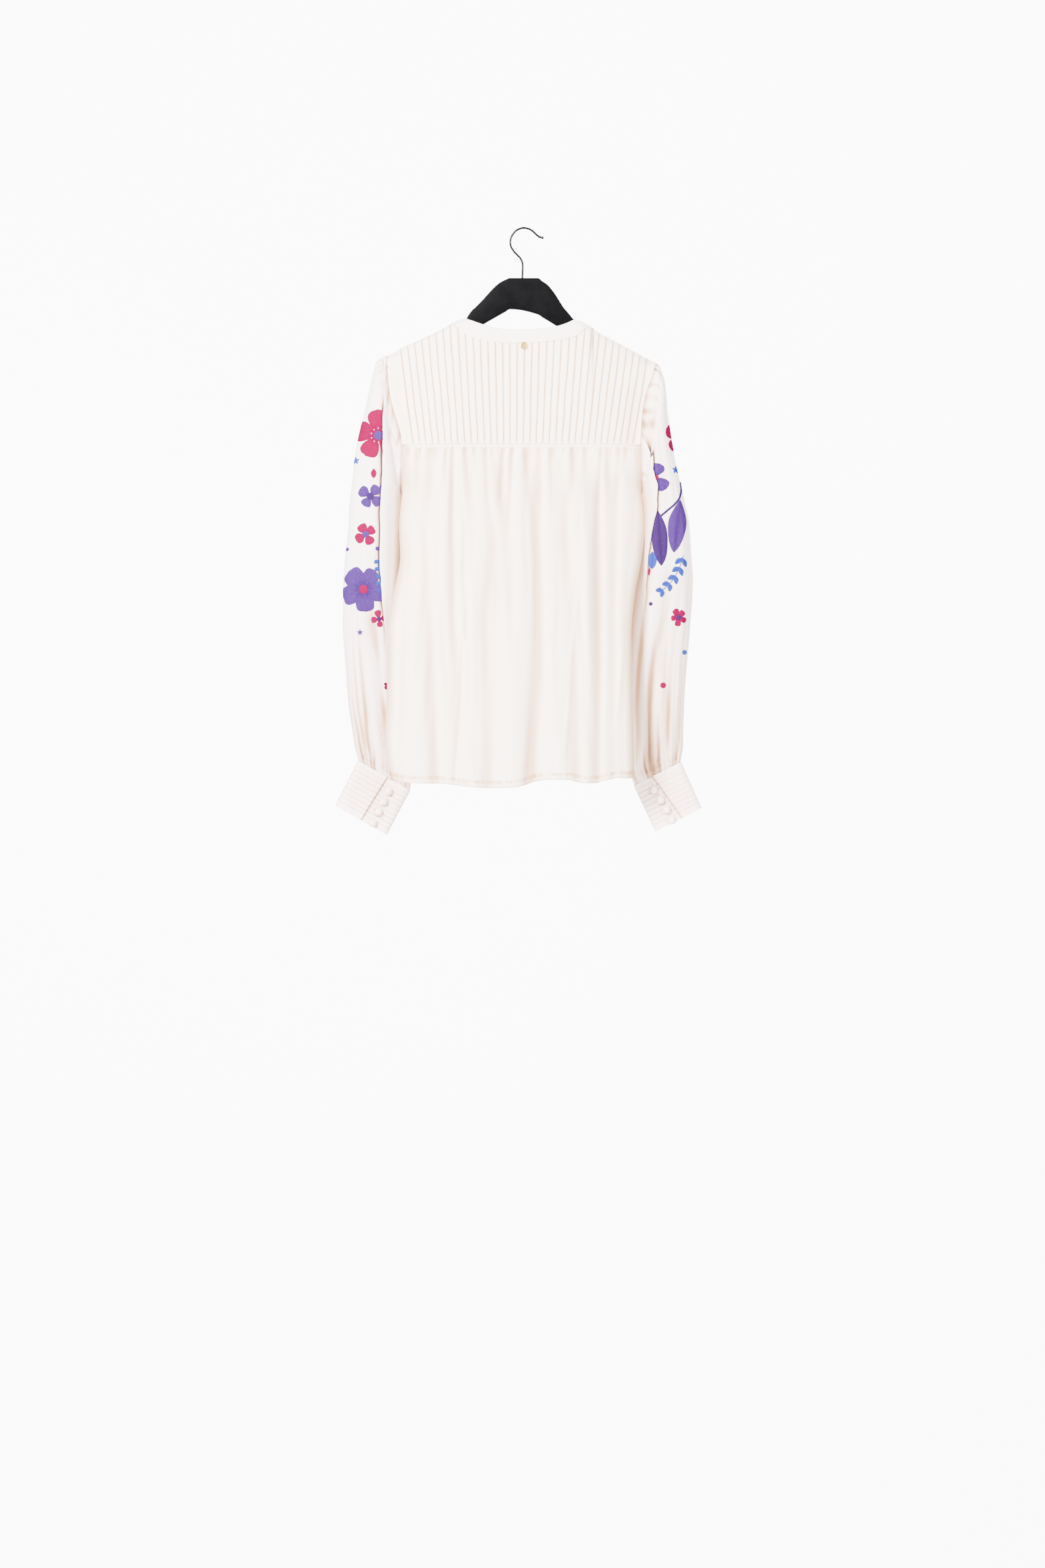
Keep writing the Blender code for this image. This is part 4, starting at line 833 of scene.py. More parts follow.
def fine_sleeve(rows_of, arm, side, lines, rows=200, cols=148, seed=100, under=False):
    """under=True gives the cloth that runs on beneath the plain fold."""
    n = len(rows_of["xo"])
    k = np.linspace(0, n - 1, rows)
    idx = np.arange(n)
    col = {key: ease(k, idx, rows_of[key])[:, None] for key in rows_of}
    c_x, c_z = (col["xo"] + col["xi"]) / 2, (col["zo"] + col["zi"]) / 2
    w_x, w_z = (col["xo"] - col["xi"]) / 2, (col["zo"] - col["zi"]) / 2
    kk = k[:, None]
    # the fold's edge as an angle round each ring
    lz, lx, lr = -np.array(lines["z"]), np.array(lines["x"]), np.array(lines["rise"])
    share_e = np.zeros((rows, 1))
    z_e = c_z.copy()
    for _ in range(12):
        x_e = ease(-z_e, lz, lx) + 0.5 * noise1(seed + 50, z_e / 9.0)
        share_e = np.clip((x_e - c_x) / w_x, -0.93, 0.93)
        z_e = c_z + w_z * share_e
    rise = ease(-z_e, lz, lr) * smooth(0.0, 1.0, kk)
    phi_e = np.arccos(np.clip(np.sign(share_e) * np.abs(share_e) ** (1 / 0.84), -0.999, 0.999))
    # columns: dense at the fold's edge
    m = len(CLIFF)
    back_n = cols // 2 + 14
    n1 = (back_n - m) // 2
    n2 = back_n - m - n1
    first = np.linspace(0, 1, n1, endpoint=False)[None] * (phi_e + CLIFF[0])
    cliff = phi_e + np.array(CLIFF)[None]
    last = cliff[:, -1:] + (math.pi - cliff[:, -1:]) * (np.linspace(0, 1, n2 + 1)[None, 1:])
    front_n = cols - back_n
    front = math.pi + math.pi * np.broadcast_to(np.linspace(0, 1, front_n + 1, endpoint=False)[None, 1:], (rows, front_n))
    phi = np.concatenate([first, cliff, last, front], axis=1)
    cols = phi.shape[1]
    deg = np.degrees(phi)
    cx = np.sign(np.cos(phi)) * np.abs(np.cos(phi)) ** 0.84
    sy = np.sign(np.sin(phi)) * np.abs(np.sin(phi)) ** 0.84
    share = (k / (n - 1))[:, None]
    # depth of the long creases
    drop = np.zeros((rows, cols))
    for f in range(len(SLEEVE_LINES["width"])):
        jig = 3.0 * noise1(seed + f, kk * 0.9 + f)
        at = ease(share, (0.1, 0.5, 0.9), [SLEEVE_LINES[q][f] for q in ("a_high", "a_mid", "a_low")]) + jig
        d = ease(share, (0.1, 0.5, 0.9), [SLEEVE_LINES[q][f] for q in ("d_high", "d_mid", "d_low")])
        d = d * (0.75 + 0.45 * noise1(seed + 30 + f, kk * 0.7))
        gap = (deg - at + 180) % 360 - 180
        w = SLEEVE_LINES["width"][f] * (0.9 + 0.5 * share)
        drop = drop + d * (np.exp(-(gap / w) ** 2) - 0.30 * np.exp(-(((gap - 2.0 * w) / w) ** 2)))
    drop = drop * smooth(0.0, 0.10, share)
    # fine gathers at the head and above the cuff
    r = np.random.RandomState(seed + 7)
    head = np.zeros((rows, cols))
    for i in range(46):
        at, w, ln, a = r.uniform(0, 360), r.uniform(1.8, 3.8), r.uniform(0.7, 2.6), r.uniform(0.9, 2.8)
        gap = (deg - at - r.uniform(-4, 4) * kk + 180) % 360 - 180
        head = head + a * np.exp(-(gap / w) ** 2) * np.exp(-((kk / ln) ** 2)) * smooth(0.0, 0.10, kk)
    head = head * np.clip(1.25 - np.abs(((deg + 180) % 360) - 180) / 110.0, 0.25, 1)
    foot = np.zeros((rows, cols))
    end = (n - 1) - kk
    for i in range(58):
        at, w, ln, a = r.uniform(0, 360), r.uniform(1.6, 3.6), r.uniform(0.9, 3.2), r.uniform(0.8, 2.4)
        gap = (deg - at - r.uniform(-3, 3) * end + 180) % 360 - 180
        foot = foot + a * np.exp(-(gap / w) ** 2) * np.exp(-((end / ln) ** 2))
    slack = 1 - 0.72 * smooth(n - 1.5, n - 1.0, kk)
    # the plain fold that lies over the back
    away = phi - phi_e
    on_back = deg < 179.5
    part = rise / 5.4
    lift = (0.0 if under else 1.0) * rise * ease(away, (-0.012, 0.004, 0.030, 0.11, 0.5, 1.1), (0.0, 0.72, 1.0, 0.92, 0.45, 0.0)) * on_back
    tuck_in = -1.5 * part * np.exp(-((np.minimum(away + 0.006, 0) / 0.055) ** 2)) * ((away < 0.002) | under) * on_back
    over = (0.0 if under else 2.4) * part * ease(away, (-0.001, 0.004, 0.012, 0.062, 0.16), (0.0, 0.9, 1.0, 0.35, 0.0)) * on_back
    depth = np.maximum(col["b"] - (drop + head + foot) * slack + lift + tuck_in, 1.2)
    wob = 1 + 0.018 * noise2(seed + 3, kk * 1.3, deg / 60.0) * smooth(1.0, 3.0, kk)
    low = -545.0 if side > 0 else -700.0
    body_gap = smooth(-262.0, -325.0, c_z) * smooth(low, low + 55.0, c_z)      # where the sleeve rests against the body's edge
    x = c_x + w_x * cx * wob - side * (5.2 if side > 0 else 7.5) * body_gap * np.clip(-np.cos(phi), 0, 1) ** 2
    z = c_z + w_z * cx * wob
    y = col["yc"] + depth * sy
    length = np.sqrt(w_x ** 2 + w_z ** 2)
    x = x + w_x / length * over
    z = z + w_z / length * over
    grid = np.stack([x, y, z], -1)
    # the armhole end goes under the edge of the yoke, the panel and the front
    levels_top, levels_low = arm["z"][0] - SEAM, LOW_ROWS[-1]
    zz = (levels_top + levels_low) / 2 + (levels_top - levels_low) / 2 * np.cos(phi[0])
    xx = ease(-zz, -np.array(arm["z"]), arm["x"])
    back, front = back_y(xx, zz) + SEAM / 2, front_y(xx, zz) - SEAM / 2
    yy = back * (np.sin(phi[0]) >= 0) + front * (np.sin(phi[0]) < 0)
    yy = np.where(np.abs(np.sin(phi[0])) < 0.02, (back + front) / 2, yy) * 0.93
    seam = np.stack([xx - side * 1.4, yy, zz - 0.6], -1)[None]
    first = np.clip(kk, 0, 1)[..., None]
    row_one = int(np.searchsorted(k, 1.0))
    one = grid[row_one][None]
    puff = np.sin(math.pi * np.clip(kk, 0, 1) ** 0.8)[..., None] * np.stack([side * 1.8 * np.ones(cols), 1.6 * np.sign(sy[0]), 1.8 * np.clip(np.cos(phi[0]), 0, 1)], -1)[None]
    s = first ** 0.80
    near = seam * (1 - s) + one * s + puff
    ridge = head * smooth(0.0, 0.12, kk) * (1 - smooth(0.8, 1.0, kk))
    near[..., 1] -= (ridge * np.sign(sy) * 0.8)
    grid = np.where(kk[..., None] < 1.0, near, grid)
    # the other end goes into the cuff
    last_row = smooth(n - 1.22, n - 1.0, kk)[..., None]
    way = np.array([grid[-1, :, 0].mean() - grid[-14, :, 0].mean(), 0.0, grid[-1, :, 2].mean() - grid[-14, :, 2].mean()])
    way = way / np.linalg.norm(way)
    mid = grid.mean(axis=1, keepdims=True)
    grid = grid + last_row * (way * 2.6 + (mid - grid) * np.array([0.035, 0.22, 0.035]))
    # painted shade: in the head and cuff gathers, a soft shade and a dark shadow line at the foot of the plain fold, in
    # the long creases, where the inner side meets the body, and along the armhole seam
    fold = np.clip(head / 4.0, 0, 0.5) + np.clip(foot / 5.0, 0, 0.40)
    fold = fold + 0.70 * part * np.exp(-((np.minimum(away + 0.07, 0) / 0.14) ** 2)) * (away < 0.001) * on_back
    fold = fold + 1.80 * part * np.exp(-((np.minimum(away + 0.075, 0) / 0.036) ** 2)) * (away < 0.001) * on_back
    fold = fold + np.clip(drop / 4.5, 0, 0.80) * smooth(0.40, 0.95, share)
    inner_side = np.clip(-np.cos(phi), 0, 1) ** 3
    fold = fold + 1.15 * inner_side * body_gap
    fold = fold + 0.45 * smooth(0.35, 0.0, kk) + 0.6 * np.exp(-((kk / 0.10) ** 2))
    return grid, fold


# ---------------------------------------------------------------- cuffs
def fine_cuff(c, lap, buttons, side, rows=104, seed=200):
    tl, tr, bl, br = (np.array(c[k]) for k in ("tl", "tr", "bl", "br"))
    t = np.linspace(0, 1, rows)[:, None]
    path = cuff_path(0.0)
    place = lap[0] + (lap[1] - lap[0]) * t[:, 0]
    grid, line = [], []
    for r in range(rows):
        pts = cuff_path(place[r])
        share, depth = np.array(pts).T
        chord = np.concatenate([[0], np.cumsum(np.hypot(np.diff(share) * 84, np.diff(depth) * CUFF_HALF_DEPTH))])
        at = np.linspace(0, chord[-1], 118)
        share, depth = ease(at, chord, share), ease(at, chord, depth)
        a, b = tl + (bl - tl) * t[r], tr + (br - tr) * t[r]
        p = a[None] + (b - a)[None] * share[:, None]
        # cross tucks: a crisp lip that falls away
        step = (t[r, 0] - 0.09) / 0.098
        f = (step % 1.0) if 0.0 < step < 8.0 else 1.0
        tuck = (1.15 * math.exp(-((f - 0.14) / 0.16) ** 2) if f > 0.14 else 1.15 * (f / 0.14)) if 0.0 < step < 8.0 else 0.0
        tuck *= 1.0
        edge = 0.35 * math.exp(-((1 - t[r, 0]) / 0.03) ** 2)
        wave = 0.35 * noise1(seed, at / 9.0 + t[r] * 2.2) + 0.22 * noise1(seed + 1, at / 3.0 + t[r] * 14)
        y = c["y"] + depth * CUFF_HALF_DEPTH + (tuck + edge + wave) * np.clip(depth * 1.3, -1, 1)
        grid.append(np.stack([p[:, 0], y, p[:, 1]], -1))
        past = (share - place[r]) * np.linalg.norm(b - a)
        # painted shadow line along the overlap's edge on the cuff's outer face
        line.append(1.25 * np.exp(-(((past - 0.9) / 0.9) ** 2)) * (depth > 0.0))
    grid = np.array(grid)
    # painted shade in each cross tuck's crease, added to the painted shadow line of the overlap
    step = (t - 0.09) / 0.098
    f = np.where((step > 0) & (step < 8.3), step % 1.0, 0.5)
    fold = 0.90 * np.exp(-((np.minimum(f, 1 - f) / 0.065) ** 2)) * np.ones((1, grid.shape[1])) + np.array(line)
    for bx, bz in buttons:      # the shade each button and its loop cast on the cuff
        far = np.hypot(grid[..., 0] - bx + 0.8, grid[..., 2] - bz + 0.9)
        fold = fold + 0.85 * np.exp(-(((far - 4.9) / 1.1) ** 2)) * (grid[..., 1] > c["y"])
    return grid, fold


def dome(name, x, y, z, facing, mat, lean=0.0, seed=0):
    """A covered button: gathered cloth drawn round a domed mould, turned under at the back."""
    rings, around = 14, 40
    verts, quads = [], []
    prof = [(0.0, 4.2), (1.0, 4.12), (2.0, 3.85), (3.0, 3.3), (3.9, 2.6), (4.6, 1.8), (4.9, 1.1), (4.75, 0.5), (4.2, 0.15), (3.2, 0.0), (2.0, -0.1), (0.8, -0.1)]
    ang = np.linspace(0, 2 * math.pi, around, endpoint=False)
    for i, (r, h) in enumerate(prof):
        wob = 1 + 0.018 * np.sin(ang * 9 + seed) * (r / 4.9)
        rr, hh = max(r, 0.05) * wob, h + 0.05 * np.sin(ang * 7 + seed * 2) * (r / 4.9)
        verts += [(x + a * math.cos(w), y + facing * b, z + a * math.sin(w)) for a, b, w in zip(rr, hh, ang)]
    m = len(prof)
    for i in range(m - 1):
        for j in range(around):
            q = (j + 1) % around
            quads.append((i * around + j, i * around + q, (i + 1) * around + q, (i + 1) * around + j))
    verts.append((x, y + facing * 4.2, z))
    verts.append((x, y - facing * 0.1, z))
    top, low = len(verts) - 2, len(verts) - 1
    for j in range(0, around, 2):
        quads.append((top, (j + 2) % around, (j + 1) % around, j))
        b = (m - 1) * around
        quads.append((low, b + j, b + (j + 1) % around, b + (j + 2) % around))
    if facing > 0:
        quads = [q for q in quads]
    # painted shade under the button's rim and on its turned-under back
    fold = [0.0] * len(verts)
    for i, (r, h) in enumerate(prof):
        if i >= 6:
            for j in range(around):
                fold[i * around + j] = 0.5
    obj = build(name, verts, quads, mat, fold=fold)
    return obj


def cord_loop(name, pts, radius, mat):
    curve = bpy.data.curves.new(name, "CURVE")
    curve.dimensions = "3D"
    curve.bevel_depth = radius * 0.001
    curve.bevel_resolution = 3
    curve.use_fill_caps = True
    spline = curve.splines.new("POLY")
    spline.points.add(len(pts) - 1)
    for p, q in zip(spline.points, pts):
        p.co = (q[0] * 0.001, q[1] * 0.001, q[2] * 0.001, 1)
    obj = bpy.data.objects.new(name, curve)
    curve.materials.append(mat)
    bpy.context.scene.collection.objects.link(obj)
    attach(obj, "root")
    return obj


# ---------------------------------------------------------------- embroidery
# Each motif is a flat shape made by a formula in picture-plane millimetres, laid on the sleeve along Y.
def petals(cx, cz, count, length, turn=0.0, uneven=0.0, seed=0, gap=0.12, wide=0.42):
    """Rounded petals round a centre, uneven in length, width and angle."""
    r = np.random.RandomState(seed)
    out = []
    for i in range(count):
        a = turn + 2 * math.pi * i / count + r.uniform(-0.07, 0.07)
        out.append(("petal", cx, cz, a, gap * length, length * (1 + uneven * r.uniform(-1, 1)), wide * r.uniform(0.90, 1.08)))
    return out


def motif_patch(kind, *q):
    """(points, uv, quads, height, shade) of one motif in the plane, as rows from its foot to its tip."""
    cx, cz, a, start, ln, wide = q
    v = np.linspace(-1, 1, 17)[None]
    if kind == "petal":      # wide: half its greatest width as a share of its length
        s = np.linspace(0, 1, 21)[:, None]
        s = s ** 0.9
        reach = start + (ln - start) * s
        rise = np.clip(s / 0.60, 0, 1)
        half = ln * (0.10 + (wide - 0.10) * np.sin(rise * math.pi / 2) ** 1.25)
        half = half * np.sqrt(np.clip(1 - (np.clip(s - 0.66, 0, 1) / 0.34) ** 3.0, 0, 1)) + 0.02
        half = half * (1 + 0.035 * np.sin(9 * s + 5 * a))
        along = reach + 0.022 * ln * np.sin(4.2 * v + 3 * a) * s ** 5 - 0.05 * ln * np.exp(-((v / 0.30) ** 2)) * s ** 9
        shade = 0.60 * np.exp(-((s / 0.26) ** 2)) + 0 * v
    else:
        s = np.linspace(0, 1, 35)[:, None]
        half = wide * np.sin(math.pi * np.clip(s, 0.01, 0.99) ** 0.92) ** 0.75 * (1 + 0.05 * np.sin(9 * s + a * 5))
        along = start + (ln - start) * s + 0 * v
        shade = 0.55 * np.exp(-((v / 0.22) ** 2)) + 0 * s
    across = half * v
    ca, sa = math.cos(a), math.sin(a)
    x = cx + along * ca - across * sa
    z = cz + along * sa + across * ca
    pts = np.stack([x, z], -1).reshape(-1, 2)
    uv = np.stack([across * 0.01 + 0.5 + 0 * along, along * 0.01 + 0 * across], -1).reshape(-1, 2)
    edge = np.clip(1 - np.maximum(np.abs(v) + 0 * s, np.abs(2 * s - 1) + 0 * v) ** 6, 0, 1).reshape(-1)
    rows, cols = s.shape[0], v.shape[1]
    r, c = np.meshgrid(np.arange(rows - 1), np.arange(cols - 1), indexing="ij")
    k = r * cols + c
    quads = np.stack([k, k + 1, k + cols + 1, k + cols], -1).reshape(-1, 4)
    return pts, uv, quads, edge, shade.reshape(-1)


def disc_patch(cx, cz, radius, squash=1.0, lobes=0, lobe=0.0, turn=0.0):
    rings, around = 5, 24
    ang = np.linspace(0, 2 * math.pi, around, endpoint=False) + turn
    pts, uv, edge = [(cx, cz)], [(0.02, 0.02)], [1.0]
    for i in range(1, rings + 1):
        f = i / rings
        r = radius * f * (1 + lobe * np.cos(lobes * (ang - turn)) * f)
        pts += list(zip(cx + r * np.cos(ang), cz + r * np.sin(ang) * squash))
        uv += list(zip(0.02 + r * np.cos(ang) * 0.01, 0.02 + r * np.sin(ang) * 0.01))
        edge += [1 - f ** 5] * around
    quads = []
    for j in range(0, around, 2):
        quads.append((0, 1 + j, 1 + (j + 1) % around, 1 + (j + 2) % around))
    for i in range(rings - 1):
        for j in range(around):
            a, b = 1 + i * around + j, 1 + i * around + (j + 1) % around
            quads.append((a, a + around, b + around, b))
    return np.array(pts), np.array(uv), np.array(quads), np.array(edge), np.zeros(len(pts))


def stroke_patch(points, wide):
    """A stem: a narrow band along a smooth line, in picture-plane millimetres."""
    p = np.array(points, float)
    d = np.concatenate([[0], np.cumsum(np.hypot(*np.diff(p, axis=0).T))])
    at = np.linspace(0, d[-1], max(12, int(d[-1] / 1.2)))
    x, z = ease(at, d, p[:, 0]), ease(at, d, p[:, 1])
    t = np.stack([np.gradient(x), np.gradient(z)], 1)
    t /= np.maximum(np.linalg.norm(t, axis=1, keepdims=True), 1e-9)
    n = np.stack([-t[:, 1], t[:, 0]], 1)
    v = np.linspace(-1, 1, 4)
    grow = np.clip(np.minimum(at, d[-1] - at) / 1.5 + 0.35, 0, 1)
    pts = (np.stack([x, z], 1)[:, None] + n[:, None] * (v[None, :, None] * wide / 2 * grow[:, None, None])).reshape(-1, 2)
    uv = np.stack([np.broadcast_to(v, (len(at), 4)) * wide * 0.006 + 0.02, np.broadcast_to(at[:, None] * 0.01, (len(at), 4))], -1).reshape(-1, 2)
    r, c = np.meshgrid(np.arange(len(at) - 1), np.arange(3), indexing="ij")
    k = r * 4 + c
    quads = np.stack([k, k + 1, k + 5, k + 4], -1).reshape(-1, 4)
    edge = (1 - np.abs(v) ** 3)[None].repeat(len(at), 0).reshape(-1)
    return pts, uv, quads, edge, np.zeros(len(pts))


def lay(name, patches, tree_of_sleeve, mat, y_max=200.0, y_min=-90.0, raise_by=0.55, allow=None):
    """Lays flat patches on the sleeve's back along Y. A point the fold covers is left out with its faces."""
    pts, uvs, quads, edges, shades, at = [], [], [], [], [], 0
    for p, uv, q, e, shade in patches:
        shades.append(shade)
        pts.append(p)
        uvs.append(uv)
        quads.append(np.asarray(q) + at)
        edges.append(e)
        at += len(p)
    shades = np.concatenate(shades)
    pts, uvs, quads, edges = np.concatenate(pts), np.concatenate(uvs), np.concatenate(quads), np.concatenate(edges)
    out, ok, drawn_in = np.zeros((len(pts), 3)), np.ones(len(pts), bool), np.zeros(len(pts), bool)
    for i, (x, z) in enumerate(pts):
        hit, normal, _, _ = tree_of_sleeve.ray_cast((x, y_max, z), (0, -1, 0))
        near = 0.0
        while hit is None and near < 9.0:      # past the sleeve's outline: draw the point in to the edge
            near += 0.3
            hit, normal, _, _ = tree_of_sleeve.ray_cast((x - math.copysign(near, x), y_max, z), (0, -1, 0))
        if hit is None or (allow is not None and not allow(x, z)) or hit[1] < y_min:
            ok[i] = False
            continue
        drawn_in[i] = near > 0.0
        lift = raise_by * (0.25 + 0.75 * edges[i]) * (1 if normal[1] > 0 else -1) * (1.0 if near == 0.0 else 0.4)
        out[i] = (hit[0] + normal[0] * lift, hit[1] + normal[1] * lift, hit[2] + normal[2] * lift)
    keep = ok[quads].all(1) & ~drawn_in[quads].all(1)
    spread = out[quads]
    step = np.ptp(spread[..., 1], axis=1)
    keep &= step < 28.0
    quads = quads[keep]
    if not len(quads):
        return None
    used, index = np.unique(quads.reshape(-1), return_inverse=True)
    return build(name, out[used], index.reshape(-1, 4), mat, fold=shades[used], uv=uvs[used])


def px(x, y):
    """A point of the picture as (X, Z) in millimetres."""
    return (784.0 - x) * 0.92, (338.7 - y) * 0.92


def flower(cx, cy, r_px, count, turn, seed=0, uneven=0.05, gap=0.10, wide=0.42):
    x, z = px(cx, cy)
    return [motif_patch(*p) for p in petals(x, z, count, r_px * 0.92, turn, uneven, seed, gap, wide)]


def spot(cx, cy, rx_px, squash=1.0, lobes=0, lobe=0.0, turn=0.0):
    x, z = px(cx, cy)
    return disc_patch(x, z, rx_px * 0.92, squash, lobes, lobe, turn)


def leaf(foot, tip, wide_px):
    (x0, z0), (x1, z1) = px(*foot), px(*tip)
    ln = math.hypot(x1 - x0, z1 - z0)
    return motif_patch("leaf", x0, z0, math.atan2(z1 - z0, x1 - x0), 0.0, ln, wide_px * 0.92 / 2)


def stem(points, wide_px):
    return stroke_patch([px(*p) for p in points], wide_px * 0.92)


def sprig(points, side_len, count, wide_px, first=0.05):
    """Paired oval leaflets along a curved line."""
    p = smooth_line([px(*q) for q in points], 6)
    d = np.concatenate([[0], np.cumsum(np.hypot(*np.diff(p, axis=0).T))])
    out = [stroke_patch(p, 1.3)]
    for i in range(count):
        s = (first + (0.96 - first) * i / max(count - 1, 1)) * d[-1]
        x, z = np.interp(s, d, p[:, 0]), np.interp(s, d, p[:, 1])
        x2, z2 = np.interp(min(s + 1.0, d[-1]), d, p[:, 0]), np.interp(min(s + 1.0, d[-1]), d, p[:, 1])
        if s + 1.0 > d[-1]:
            x2, z2 = x + (x - np.interp(s - 1.0, d, p[:, 0])), z + (z - np.interp(s - 1.0, d, p[:, 1]))
        a = math.atan2(z2 - z, x2 - x)
        for sgn in (-1, 1):
            out.append(motif_patch("leaf", x, z, a + sgn * (0.62 + 0.10 * math.sin(3.0 * i)), 1.2, side_len * 0.92 * (1 - 0.25 * i / count), wide_px * 0.92 / 2))
    return out


# ---------------------------------------------------------------- stitches
def stitch_run(name, line, bvh, mat, facing=1, step=3.0, length=2.1, thick=0.17, raise_by=0.05):
    """A row of machine stitches along a line of (X, Z) points, laid on the cloth along Y."""
    p = np.array(line, float)
    d = np.concatenate([[0], np.cumsum(np.hypot(*np.diff(p, axis=0).T))])
    verts, quads = [], []
    ring = [(math.cos(a), math.sin(a)) for a in np.linspace(0, 2 * math.pi, 6, endpoint=False)]
    for i in range(int(d[-1] / step)):
        s0 = i * step + 0.3
        pts = []
        for f in (0.0, 0.25, 0.75, 1.0):
            s = s0 + f * length
            x, z = np.interp(s, d, p[:, 0]), np.interp(s, d, p[:, 1])
            hit, normal, _, _ = bvh.ray_cast((x, 200.0 * facing, z), (0, -facing, 0))
            if hit is None:
                break
            pts.append((np.array(hit), np.array(normal) * (1 if normal[1] * facing > 0 else -1)))
        if len(pts) < 4 or max(abs(pts[0][0][1] - q[0][1]) for q in pts) > 2.5:
            continue
        t = pts[-1][0] - pts[0][0]
        t /= max(np.linalg.norm(t), 1e-9)
        base = len(verts)
        for (q, n), r in zip(pts, (0.25, 1.0, 1.0, 0.25)):
            b = np.cross(t, n)
            for ca, sa in ring:
                verts.append(q + n * (raise_by + sa * thick * r) + b * (ca * thick * 1.3 * r))
        for k in range(3):
            for j in range(6):
                a, b = base + k * 6 + j, base + k * 6 + (j + 1) % 6
                quads.append((a, b, b + 6, a + 6))
        quads.append((base, base + 3, base + 2, base + 1))
        quads.append((base, base + 5, base + 4, base + 3))
        e = base + 18
        quads.append((e, e + 1, e + 2, e + 3))
        quads.append((e, e + 3, e + 4, e + 5))
    return build(name, verts, quads, mat) if verts else None


def bvh_of(grid, wrap=False):
    rows, cols = grid.shape[:2]
    span = cols if wrap else cols - 1
    r, c = np.meshgrid(np.arange(rows - 1), np.arange(span), indexing="ij")
    d = (c + 1) % cols
    quads = np.stack([r * cols + c, r * cols + d, (r + 1) * cols + d, (r + 1) * cols + c], -1).reshape(-1, 4)
    return BVHTree.FromPolygons([tuple(v) for v in grid.reshape(-1, 3).tolist()], quads.tolist())


# ---------------------------------------------------------------- hanger
def board_mesh(mat):
    xs = np.concatenate([np.linspace(-178, -90, 70), np.linspace(-89.4, 89.4, 260), np.linspace(90, 178, 70)])
    top, low = ease(xs, HANGER["x"], HANGER["top"]), ease(xs, HANGER["x"], HANGER["low"])
    r = 2.4
    half_t = HANGER_T / 2
    loops = []
    for x, t, l in zip(xs, top, low):
        rr = min(r, (t - l) / 2 - 0.2)
        pts = []
        for cy, cz, a0 in ((half_t - rr, t - rr, 0), (-half_t + rr, t - rr, 90), (-half_t + rr, l + rr, 180), (half_t - rr, l + rr, 270)):
            for a in np.linspace(a0, a0 + 90, 7):
                pts.append((x, cy + rr * math.cos(math.radians(a)), cz + rr * math.sin(math.radians(a))))
        loops.append(pts)
    verts = np.array(loops)
    n, m = verts.shape[:2]
    flat = verts.reshape(-1, 3)
    i, j = np.meshgrid(np.arange(n - 1), np.arange(m), indexing="ij")
    k = (j + 1) % m
    quads = np.stack([i * m + j, i * m + k, (i + 1) * m + k, (i + 1) * m + j], -1).reshape(-1, 4)
    caps = []
    for e, base in ((0, 0), (1, (n - 1) * m)):
        for q in range(m // 2 - 1):
            a, b, c, d = base + q, base + q + 1, base + m - 2 - q, base + m - 1 - q
            caps.append((a, d, c, b) if e else (a, b, c, d))
    quads = np.concatenate([quads, np.array(caps)])
    obj = build("hanger_board", flat, quads, mat)
    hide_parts("hanger_wood")
    return obj


def smooth_line(pts, per=8):
    """Catmull-Rom through the points."""
    p = np.array(pts, float)
    p = np.concatenate([[2 * p[0] - p[1]], p, [2 * p[-1] - p[-2]]])
    out = []
    for i in range(1, len(p) - 2):
        for t in np.linspace(0, 1, per, endpoint=False):
            a, b, c, d = p[i - 1], p[i], p[i + 1], p[i + 2]
            out.append(0.5 * ((2 * b) + (c - a) * t + (2 * a - 5 * b + 4 * c - d) * t ** 2 + (3 * b - a - 3 * c + d) * t ** 3))
    out.append(p[-2])
    return np.array(out)


def hook_wire(mat):
    pts = smooth_line(list(zip(HOOK["x"], HOOK["z"])), 10)
    radius = np.ones(len(pts))
    end = pts[-1]
    tip = [(end[0] - 0.5, end[1] - 0.05, 1.18), (end[0] - 1.1, end[1] - 0.1, 1.38), (end[0] - 1.9, end[1] - 0.1, 1.42), (end[0] - 2.6, end[1] - 0.05, 1.2), (end[0] - 3.1, end[1], 0.75), (end[0] - 3.3, end[1], 0.3)]
    curve = bpy.data.curves.new("hook_wire", "CURVE")
    curve.dimensions = "3D"
    curve.bevel_depth = HOOK_R * MM
    curve.bevel_resolution = 7
    curve.use_fill_caps = True
    spline = curve.splines.new("POLY")
    spline.points.add(len(pts) + len(tip) - 1)
    rows = [(x, z, r) for (x, z), r in zip(pts, radius)] + tip
    for q, (x, z, r) in zip(spline.points, rows):
        q.co = (x * MM, 0, z * MM, 1)
        q.radius = r
    spline.use_smooth = True
    obj = bpy.data.objects.new("hook_wire", curve)
    curve.materials.append(mat)
    bpy.context.scene.collection.objects.link(obj)
    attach(obj, "root")
    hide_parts("hanger_hook")
    return obj


# ---------------------------------------------------------------- the scene
scene = bpy.context.scene
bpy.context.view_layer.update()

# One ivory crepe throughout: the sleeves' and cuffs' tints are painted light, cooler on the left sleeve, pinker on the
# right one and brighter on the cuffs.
ivory = cloth_material("ivory_crepe", (0.82, 0.71, 0.62))
ivory_panel = cloth_material("ivory_crepe_panel", (0.81, 0.70, 0.615))
ivory_sleeve_l = cloth_material("ivory_crepe_sleeve_left", (0.79, 0.672, 0.665))
ivory_sleeve_r = cloth_material("ivory_crepe_sleeve_right", (0.79, 0.674, 0.650))
ivory_cuff = cloth_material("ivory_crepe_cuff", (0.85, 0.685, 0.645))
thread = cloth_material("ivory_thread", (0.84, 0.74, 0.67), weave=2400, painted_shade_strength=0.0)

